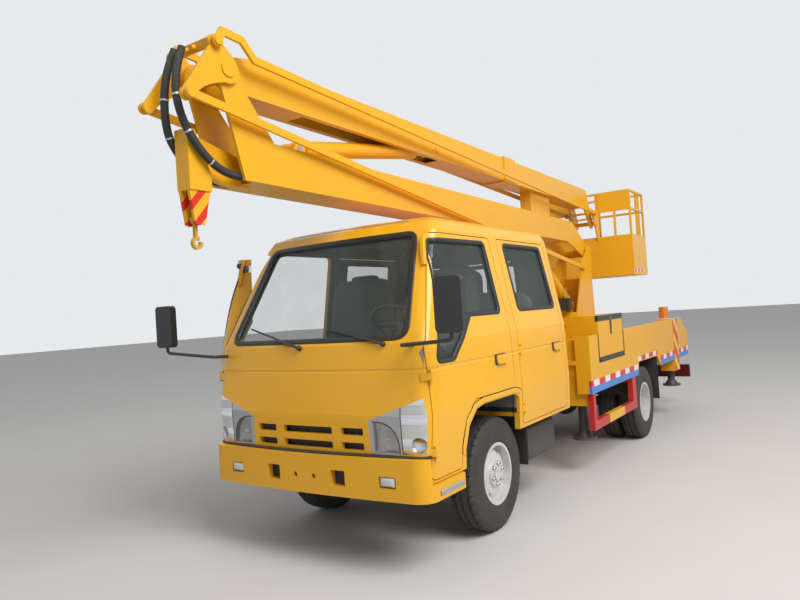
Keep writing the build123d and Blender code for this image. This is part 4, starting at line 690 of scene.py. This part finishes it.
def cover_look(place):
    x, _, z = place.axes()
    x, z = x.math("ABSOLUTE") * 1000.0, z * 1000.0 + origin_z
    across, rise = (x - bowl_corner[0]) / bowl_size[0], (z - bowl_corner[1]) / bowl_size[1]
    reach, tall = (part.math("MAXIMUM", 0.0).math("POWER", bowl_power) for part in (across, rise))
    reach = reach + tall
    window = (reach < 0.95) * (across > 0.02) * (rise > 0.02)
    rim = (reach < 1.08) * (reach > 0.95) * (across > -0.02) * (rise > -0.02)
    column = between(x, column_x, column_end)
    joint = between(x, column_x - column_joint, column_x)
    ring = ((x - small_bowl[0]).math("POWER", 2.0) + (z - small_bowl[1]).math("POWER", 2.0)).math("SQRT")
    ring = ring / small_bowl[2]
    small = ring < 1.0
    waves = (z * 0.052).math("SINE") * 0.5 + (x * 0.045).math("SINE") * 0.3
    haze = place.noise(18.0, 2.0)
    silver = column.mixed((0.40, 0.40, 0.41), (0.66, 0.67, 0.69))
    # Painted reflection in the small round reflector: bright at its middle, darker towards its rim.
    silver = small.mixed(silver, ring.mixed((0.80, 0.81, 0.83), (0.34, 0.34, 0.35)))
    silver = (rim + joint).math("MINIMUM", 1.0).mixed(silver, (0.07, 0.07, 0.07))
    depth = column * (1.0 - small) * waves * 0.012 - small * (1.0 - ring * ring) * 0.03
    return {
        "Base Color": window.mixed(silver, haze.mixed((0.86, 0.88, 0.9), (0.7, 0.72, 0.74))),
        "Metallic": (1.0 - window) * (column * 0.35 + 0.5),
        "Roughness": haze * 0.06 + (1.0 - window) * 0.16 + 0.03,
        "Alpha": 1.0 - window * (0.9 - haze * 0.1),
        "Coat Weight": 0.8,
        "Normal": depth.bump(1.0),
    }


def bowl_look(place):
    flutes = (place.axes()[0] * 700.0).math("SINE")
    tarnished = mottled((0.86, 0.88, 0.9), (0.95, 0.95, 0.96), (20.0, 2.0), (0.1, 0.12), Metallic=0.7)
    return {**tarnished(place), "Normal": flutes.bump(0.004)}


def turned(profile, centre, way, steps=40):
    """A surface of revolution: a profile of (radius, distance along the axis) carried round an axis."""
    profile = np.asarray(profile, float)
    way = np.asarray(way, float) / np.linalg.norm(way)
    side_way = np.cross(way, (0.0, 0.0, 1.0) if abs(way[2]) < 0.9 else (1.0, 0.0, 0.0))
    side_way /= np.linalg.norm(side_way)
    other = np.cross(way, side_way)
    ring = circle(steps) @ np.stack([side_way, other])
    points = np.asarray(centre, float) + ring[:, None] * profile[None, :, :1] + way * profile[None, :, 1:]
    return points.reshape(-1, 3), quads(steps, len(profile), wrap_rows=True)


cover = finish_of("lamp_cover", cover_look)
bowl_metal = finish_of("lamp_bowl", bowl_look)
dress(cover, "headlamps")
bowl_front, bowl_deep, bowl_lean = -979.0, 26.0, 0.06
bowl_back = -955.0
u, v = np.linspace(0, 1, 33)[:, None], np.linspace(0, math.pi / 2, 37)
far = (np.cos(v) ** bowl_power + np.sin(v) ** bowl_power) ** (-1 / bowl_power)
across, rise = u * far * np.cos(v), u * far * np.sin(v)
dish_x, dish_z = bowl_corner[0] + bowl_size[0] * across, bowl_corner[1] + bowl_size[1] * rise
deep = 1 - ((across - 0.42) ** 2 + (rise - 0.42) ** 2) / 0.62
dish_y = bowl_front + bowl_lean * (dish_x - bowl_corner[0]) + bowl_deep * np.clip(deep, 0.0, 1) + 2
dish = np.stack([dish_x, np.minimum(dish_y, bowl_back), dish_z], axis=-1)
bulb_line = [(0.5, 22), (6, 21), (11, 17), (13, 8), (13, 0), (20, -3)]
bulb = turned(bulb_line, (bowl_corner[0] + 72, -962, bowl_corner[1] + 76), (0, -1, 0), 24)
shape = joined([faced(dish, dish + (0, 3, 0), flip=True), bulb])
on_both_sides("left_lamp_bowls", shape, bowl_metal, "lamp_plastic", "truck")

# Gap shade: a black rubber strip pressed into the gap between the bumper's top and the grille and headlamps,
# put there to show the shade in that gap.
u, v = np.linspace(-858, 858, 75)[:, None], np.linspace(0, 2 * math.pi, 16, endpoint=False)
curve = -1026 + 0.000095 * u ** 2 + 26 * np.clip((np.abs(u) - 760) / 100, 0, 1) ** 2
strip = grid(u, curve + 21 * np.cos(v), 699 + 8.5 * np.sin(v))
faces = quads(75, 16, wrap_columns=True) + [list(range(16))[::-1], list(range(74 * 16, 75 * 16))]
piece("bumper_gap_shade_strip", strip.reshape(-1, 3), faces, rubber, "flap_rubber", "truck")

# Splash sheet: black rubber behind the bumper's windows, bolted to the frame's front.
u, v = np.linspace(-420, 420, 57)[:, None], np.linspace(500, 640, 15)
sheet = grid(u, -1018 + 3 * np.sin(u / 40) * np.sin(v / 24) + 0.0001 * u ** 2, v)
piece("splash_sheet", *faced(sheet, sheet + (0, 5, 0)), rubber, "flap_rubber", "truck")

# Radiator: a black core with fine upright fins, seen through the grille's slots.
fin_depth = 3
u, v = np.linspace(-430, 430, 87)[:, None], np.linspace(712, 892, 19)
core = grid(u, -958.0 + fin_depth * (np.arange(87) % 2)[:, None], v)
piece("radiator_core", *faced(core, core + (0, 14, 0)), chassis_black, "dark_paint", "truck", smooth=False)

# Fog lamps: clear oblong lenses with a ribbed face, set in the bumper's outer windows.
fog_x, fog_y, fog_z = 612, -1036, 562
fog_half, fog_tall_half, fog_bulge = 50, 26, 12
u, v = np.linspace(-1, 1, 21)[:, None], np.linspace(-1, 1, 13)
bulge = (1 - u ** 4) * (1 - v ** 4)
face = grid(fog_x + fog_half * u, fog_y - fog_bulge * bulge, fog_z + fog_tall_half * v)
shape = faced(face, face * (1, 0, 1) + (0, -1018, 0))
on_both_sides("left_fog_lamp", shape, clear_lamp, "lamp_plastic", "truck")

# Tyres: radial truck tyres with three zigzag grooves, cross cuts on the shoulders and ribs on the sidewalls.
tyre_outline = [
    (-80, 209), (-94, 222), (-97, 246), (-98, 290), (-95, 330), (-88, 358), (-80, 372), (-72, 379),
    (-60, 381.5), (-52, 382.3), (-48, 382.6), (-34, 383.6), (-30, 383.9), (-26, 384.1), (-12, 384.7),
    (-4, 385), (4, 385),
]
tread_grooves = (-50.0, 0.0, 50.0)
groove_half = 4.5
groove_deep = 10.0
tyre_steps = 432
zigzag_steps = 12
wheel_r = 385
front_wheel_x = 700
twin_middle, twin_half = 712, 113


def tyre(centre_x, centre_y):
    """A ring of sections: at each step the radius drops where a zigzag groove or a shoulder cut passes."""
    half = np.array(tyre_outline, float)
    across = np.concatenate([half[:9, 0], np.linspace(-58, 58, 59), -half[:9, 0][::-1]])
    radius = np.interp(-np.abs(across), half[:, 0], half[:, 1])
    radius[:9], radius[-9:] = half[:9, 1], half[:9, 1][::-1]
    angle = np.linspace(0, 2 * math.pi, tyre_steps, endpoint=False)[:, None]
    step = np.arange(tyre_steps)[:, None]
    zigzag = 5.0 * (2 * np.abs((step % zigzag_steps) / zigzag_steps - 0.5) - 0.5)
    grown = radius + 0 * angle
    tread = np.abs(across) < 72
    for groove in tread_grooves:
        gap = np.abs(across - groove - zigzag) < groove_half
        grown = np.where(gap & tread, grown - groove_deep, grown)
    shoulder = (np.abs(across) > 54) & (np.abs(across) < 90) & (step % zigzag_steps < 3)
    grown = np.where(shoulder, grown - 6.0, grown)
    rib = (np.abs(across) > 96) & (step % 6 < 2)
    wide = across * np.where(rib, 0.992, 1.0)
    points = grid(centre_x + wide, centre_y + grown * np.cos(angle), wheel_r + grown * np.sin(angle))
    return points.reshape(-1, 3), quads(tyre_steps, len(across), wrap_rows=True, wrap_columns=True)


tyre_look = mottled((0.016, 0.016, 0.0165), (0.0632, 0.0576, 0.0497), (7.0, 4.0), (0.2, 0.6),
                    (150.0, 2.0, 0.0005))
tread_rubber = finish_of("tread_rubber", tyre_look)
for hand, sign in (("left", 1), ("right", -1)):
    front = piece(f"front_{hand}_tread", *tyre(sign * front_wheel_x, 0), tread_rubber, "tyre_rubber",
                  f"front_{hand}_wheel", crease=0.5)
    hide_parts(f"front_{hand}_tyre")
    pair = joined([tyre(sign * (twin_middle + out), origin_y) for out in (twin_half, -twin_half)])
    rear = piece(f"rear_{hand}_tread", *pair, tread_rubber, "tyre_rubber", f"rear_{hand}_wheel", crease=0.5)
    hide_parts(f"rear_{hand}_tyre")

# Wheel nuts: six plated nuts on studs round each hub, inside the dished wheel centre.
nut_ring = 69
nut_r = 13
nut = [(nut_r + 4, -3), (nut_r + 4, 1.5), (nut_r, 2), (nut_r, 14), (nut_r - 3, 17), (7, 17), (6, 26),
       (0.5, 27)]
for name, y in (("front", 0), ("rear", origin_y)):
    angle = np.arange(6) * math.pi / 3 + 0.3
    seats_at = grid(900.0, y + nut_ring * np.cos(angle), wheel_r + nut_ring * np.sin(angle))
    seats_at = landed(seats_at, 0, 1, f"{name}_left_rim")
    shape = joined([turned(nut, seat, (1, 0, 0), steps=6) for seat in seats_at])
    on_both_sides(f"{name}_left_nuts", shape, steel, "pin_steel", f"{name}_left_wheel", smooth=False)

# Deck, hatches and rear housings: the same enamel with a blue band and red and white reflective squares along
# the bottom, black rubber edging round the tool box lid, and warning stripes on the rear outrigger housing.
def banded_look(place):
    base = plate_look(place)
    x, y, z = place.axes()
    y, z = (y + origin_y / 1000.0) * 1000.0, (z + origin_z / 1000.0) * 1000.0
    outside = x.math("ABSOLUTE") > 0.9245
    clear_of_wheel = 1.0 - between(y, 3050, 4030)
    blue = outside * between(z, 705, 768) * clear_of_wheel * (y < 5562)
    tape = outside * between(z, 768, 822) * clear_of_wheel
    tape = tape + outside * between(z, 846, 894) * between(y, 3060, 3900)
    shifted = y - 1454.0 + between(y, 3050, 3900) * 164.0
    white = (shifted / 318.0).math("FRACT") > 0.53
    frame_outer = between(y, 1801, 2608) * between(z, 954, 1383)
    frame_inner = between(y, 1832, 2577) * between(z, 1003, 1322)
    slot = between(y, 2176, 2236) * between(z, 1192, 1330)
    edging = outside * (frame_outer * (1.0 - frame_inner) + slot)
    housing = (x.math("ABSOLUTE") > 0.953) * between(y, 4725, 4975) * (z < 1225)
    stripe = (((z + y * 0.9) / 260.0).math("FRACT") > 0.45) * housing
    colour = blue.mixed(base["Base Color"], (0.07, 0.22, 0.62))
    colour = tape.mixed(colour, white.mixed((0.62, 0.03, 0.03), (0.75, 0.75, 0.76)))
    colour = edging.mixed(colour, (0.03, 0.032, 0.028))
    colour = housing.mixed(colour, (0.80, 0.55, 0.08))
    base["Base Color"] = stripe.mixed(colour, (0.68, 0.05, 0.02))
    return base


dress(finish_of("banded_enamel", banded_look), "deck", "left_hatch", "right_hatch", "subframe")


def basket_look(place):
    base = plate_look(place)
    x, y, z = place.axes()
    low = between(z, 0.845, 0.885) * (x.math("ABSOLUTE") > 0.585) * between(y, 1.04, 1.64)
    white = (y / 0.15).math("FRACT") > 0.5
    base["Base Color"] = low.mixed(base["Base Color"], white.mixed((0.55, 0.02, 0.02), (0.7, 0.7, 0.7)))
    return base


dress(finish_of("basket_enamel", basket_look), "basket")


def guard_look(place):
    base = enamel((0.55, 0.02, 0.015))(place)
    y = place.axes()[1] * 1000.0 + origin_y
    middle = between(y, 2000, 2480)
    colour = middle.mixed(base["Base Color"], (0.80, 0.42, 0.03))
    base["Base Color"] = (y > 5500).mixed(colour, (0.09, 0.008, 0.008))
    return base


dress(finish_of("guard_enamel", guard_look), "guards")


def boom_look(place):
    base = plate_look(place)
    _, y, z = place.axes()
    cheek = between(y, -5.21, -5.05) * between(z, 1.04, 1.236)
    stripe = (((z - y * 1.1) / 0.13).math("FRACT") > 0.55) * cheek
    base["Base Color"] = stripe.mixed(base["Base Color"], (0.65, 0.03, 0.015))
    return base


dress(finish_of("boom_enamel", boom_look), "lower_boom")


def beacon_look(place):
    base = lamp_look((0.80, 0.24, 0.015))(place)
    _, y, z = place.axes()
    colour = (z < 0.212).mixed(base["Base Color"], (0.72, 0.72, 0.70))
    base["Base Color"] = (y > 2.19).mixed(colour, (0.45, 0.01, 0.01))
    return base


dress(finish_of("beacon_plastic", beacon_look), "rear_lamps")

# Tool box latches: a steel handle in the dark slot at the top of each lid, under a round stud.
stretch = np.array([(954, 2205, z) for z in (1232, 1236, 1262, 1300, 1330, 1336)], float)
stretch[:, 0] += [-6, 3, 4, 4, 3, -6]
grip = [(-6, -2), (6, -2), (6, 1), (4, 3), (-4, 3), (-6, 1)]
stud = turned([(9, -2), (9, 4), (6, 6), (0.5, 6)], (950, 2205, 1345), (1, 0, 0), 16)
on_both_sides("left_latch", joined([swept(stretch, grip, (0, 1, 0)), stud]), steel, "pin_steel", "left_hatch")

# Front arch flares: a pressed lip round each front wheel opening, 40 mm wide, spot-welded to the cab's sill.
flare_line = rounded([(-588, 500), (-574, 690), (-522, 822), (-415, 912), (-300, 928), (176, 928), (258, 912),
                      (262, 500)], 30, 0, 20)
flare_line = flare_line[flare_line[:, 1] > 640]
flare = landed(np.insert(flare_line, 0, 872.0, axis=1), 0, 1, "cab_shell", "front_left_door")
flare[:, 0] = np.clip(flare[:, 0], 862, 886)
lip = np.array([(-19, -3), (19, -3), (19, 1), (14, 6), (0, 8), (-14, 6), (-19, 1)], float)
shape = swept(flare, lip, (1, 0, 0))
bead = np.array([(-3, -4), (3, -4), (3, 2), (1, 4), (-1, 4), (-3, 2)], float)
way = np.gradient(flare, axis=0)
way /= np.linalg.norm(way, axis=1)[:, None]
beaded = swept(flare + np.cross(way, (1.0, 0.0, 0.0)) * -21.0, bead, (1, 0, 0))
for hand, flared, edged in (("left", shape, beaded), ("right", mirrored(shape), mirrored(beaded))):
    piece(f"{hand}_arch_flare", *flared, cab_enamel, "yellow_paint", "truck")
    piece(f"{hand}_flare_bead", *edged, seal_rubber, "flap_rubber", "truck")

# Step plates: ribbed grey treads on the bumper's ends, riveted on.
y, z = np.linspace(-900, -625, 56)[:, None], np.linspace(474, 506, 9)
plate = grid(882 + 2.5 * ((np.arange(56) % 4 < 2)[:, None] & (np.abs(z - 490) < 13)), y, z)
shape = faced(plate, plate * (0, 1, 1) + (879, 0, 0))
on_both_sides("left_step_tread", shape, steel, "pin_steel", "truck", smooth=False)

# Mirror glass: slightly domed silvered glass in each mirror's head, facing back.
mirror_look = mottled((0.82, 0.84, 0.86), (0.9, 0.91, 0.92), (16.0, 2.0), (0.06, 0.02), Metallic=1.0)
silvered = finish_of("silvered_glass", mirror_look)
for hand, x, z in (("left", 1110, 1548), ("right", -1262, 1525)):
    u, v = np.linspace(-1, 1, 21)[:, None], np.linspace(-1, 1, 31)
    dome = 4 * (1 - u ** 2) * (1 - v ** 2) + 2 * (1 - u ** 8) * (1 - v ** 8)
    round_off = np.sqrt(1 - 0.12 * u ** 6 * v ** 6)
    face = grid(x + 74 * u * round_off, -1036 + dome, z + 138 * v * round_off)
    shape = faced(face, face * (1, 0, 1) + (0, -1038, 0), flip=True)
    piece(f"{hand}_mirror_glass", *shape, silvered, "window_glass", "truck")

# Seats: padded cloth cushions with sewn channels on dark plastic frames: a back and a head pad for each front
# seat, and a bench behind with three sewn places. Each has its middle, width, front edge and base's height.
seat_rows = [(-400, 600, -330, 930), (430, 500, -330, 930), (-10, 1360, 560, 770)]


def pad(middle, size, tilt, crown, channels=0):
    """A closed crowned pad: a rounded box whose faces swell towards the middle and draw in at sewn channels
    across its width, tilted back about the truck's x axis."""
    theta = np.linspace(-math.pi / 2, math.pi / 2, 33)[:, None]
    phi = np.linspace(0, 2 * math.pi, 96, endpoint=False)
    x, y, z = (np.sign(part) * np.abs(part) ** 0.32 for part in (np.cos(phi), np.sin(phi), np.sin(theta)))
    narrow = np.cos(theta) ** 0.32
    shell = grid(x * narrow, y * narrow, z)
    swell = (1 - shell[..., 0] ** 2) * (1 - shell[..., 1] ** 2)
    shell[..., 2] *= 1 - crown + crown * (0.35 + 0.65 * swell)
    if channels:
        groove = np.abs(np.sin(shell[..., 0] * math.pi / 2 * channels))
        shell[..., 2] *= 1 - 0.10 * np.exp(-(groove / 0.12) ** 2) * (np.abs(shell[..., 0]) < 0.9)
    points = shell.reshape(-1, 3) * np.array(size) / 2
    c, s = math.cos(tilt), math.sin(tilt)
    points = points @ np.array([[1, 0, 0], [0, c, s], [0, -s, c]]) + middle
    return points, quads(33, 96, wrap_columns=True)


def stacked(outline, grow, levels):
    """Rings of an outline's points, grown about its middle by a share at each level."""
    centre = outline.mean(axis=0)
    rings = centre + (outline - centre) * np.reshape(grow, (-1, 1, 1))
    return grid(rings[..., 0], rings[..., 1], np.reshape(levels, (-1, 1)))


for count, (x, wide, front, low) in enumerate(seat_rows):
    bench = wide > 1000
    channels = 3 if bench else 2
    parts = [pad((x, front + 245, low + 270), (wide - 10, 470, 170), 0.07, 0.22, channels),
             pad((x, front + 480, low + 600), (wide - 30, 545, 125), 1.38, 0.25, channels)]
    if not bench:
        parts.append(pad((x, front + 545, low + 838), (250, 130, 80), 1.45, 0.3))
    for number, shape in enumerate(parts):
        made = piece(f"seat_pad_{count + 1}_{number + 1}", *shape, fabric, "seat_fabric", "truck")
        if count == 0 and number == 0:
            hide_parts("seats")
    half = wide / 2 - 30
    base = rounded([(x - half, front + 40), (x + half, front + 40), (x + half, front + 470),
                    (x - half, front + 470)], 30, 0, 60)
    points = stacked(base, (0.02, 1, 0.97, 0.02), low + np.array([1, 1, 170, 190])).reshape(-1, 3)
    faces = quads(4, len(base), wrap_columns=True)
    piece(f"seat_frame_{count + 1}", points, faces, black_plastic, "dark_plastic", "truck")

# Lower boom's mouth: painted pipes that carry on from the hoses, with plated unions at their ends.
pipe_r, union_r = 7.5, 11.0
for hand, sign in (("left", 1), ("right", -1)):
    pipes, unions = [], []
    for dx, dz in ((-11, -8), (11, -8), (-9, 11), (10, 11)):
        stretch = np.linspace(0, 1, 16)[:, None]
        run = np.array([sign * (95 + dx), -1500, 2330 + dz]) + stretch * (0, 330, -5)
        run[:, 0] += sign * dx * 0.5 * np.sin(stretch[:, 0] * 1.5)
        run[:, 2] += dz * 0.35 * np.sin(stretch[:, 0] * 1.5) + 2
        pipes.append(swept(run, circle(16) * pipe_r, (1, 0, 0)))
        collar = run[0] + np.array([-26, -22, -4, 0, 14, 16])[:, None] * np.array([0.0, 1.0, 0.0])
        width = union_r - np.array([3, 0, 0, 2, 2, 4])
        unions.append(swept(collar, circle(16) * width[:, None, None], (1, 0, 0)))
    piece(f"{hand}_boom_pipes", *joined(pipes), yellow, "yellow_paint", "lower_boom")
    piece(f"{hand}_pipe_unions", *joined(unions), steel, "pin_steel", "lower_boom")

# Control valve: cast iron sections bolted side by side on the turret's front, each with a plated lever.
valve_first, valve_step, valve_half = -105, 42, 18.0
valve_side = rounded([(3424, 1420), (3512, 1420), (3512, 1560), (3424, 1560)], 10, 0, 40)
faces = [face[::-1] for face in quads(4, len(valve_side), wrap_columns=True)]
bank, levers = [], []
for number in range(6):
    x = valve_first + valve_step * number
    ends = x + valve_half * np.array([-1, -1, 1, 1])
    points = np.roll(stacked(valve_side, (0.02, 1, 1, 0.02), ends), 1, axis=2)
    bank.append((points.reshape(-1, 3), faces))
    stretch = np.linspace(0, 1, 9)[:, None]
    run = np.array([x, 3440, 1555]) + stretch * (0, -40 - 6 * (number % 3), 120)
    width = 4.5 + 6 * (stretch > 0.8)
    levers.append(swept(run, circle(16) * width[:, None], (1, 0, 0)))
piece("valve_bank", *joined(bank), finish_of("valve_iron", iron_look), "engine_iron", "turret", crease=0.5)
piece("valve_levers", *joined(levers), steel, "pin_steel", "turret")

# Floor and light: a plain pale floor under an even sky, with one broad soft lamp high on the camera's side.
sky_level = 0.45
lamp_power = 1500.0
lamp_at = (8.5, -6.0, 8.5)
lamp_size = 7.0
floor_tone = (0.62, 0.62, 0.61)
backdrop_tone = (0.80, 0.82, 0.84)
floor_half = 60.0
floor_look = mottled(floor_tone, (0.58, 0.58, 0.57), (1.6, 4.0), (0.0, 0.9))
corners = np.array([(-1, -1), (1, -1), (1, 1), (-1, 1)]) * floor_half * 1000.0
floor_points = np.c_[corners + (0.0, origin_y), np.zeros(4)]
floor = piece("floor", floor_points, [[0, 1, 2, 3]], finish_of("floor_grey", floor_look), "floor")
world = bpy.data.worlds.new("sky")
world.use_nodes = True
sky = Wire(world.node_tree)
seen, glossy, through = (
    sky.node("ShaderNodeLightPath", output=f"Is {kind} Ray") for kind in ("Camera", "Glossy", "Transmission"))
shown = seen.math("MAXIMUM", glossy).math("MAXIMUM", through)
ground = world.node_tree.nodes["Background"]
world.node_tree.links.new(
    shown.mixed((sky_level, sky_level, sky_level * 1.02), backdrop_tone).socket, ground.inputs["Color"])
bpy.context.scene.world = world
lamp_data = bpy.data.lights.new("lamp", "AREA")
lamp_data.energy = lamp_power
lamp_data.size = lamp_size
lamp_data.color = (1.0, 0.97, 0.92)
lamp = bpy.data.objects.new("lamp", lamp_data)
toward = np.array([0.0, -1.0, 0.5]) - np.array(lamp_at)
toward /= np.linalg.norm(toward)
side = np.cross(toward, (0, 0, 1))
side /= np.linalg.norm(side)
lamp.matrix_world = Matrix([*np.c_[side, np.cross(side, toward), -toward, lamp_at].tolist(), [0, 0, 0, 1]])
bpy.context.scene.collection.objects.link(lamp)
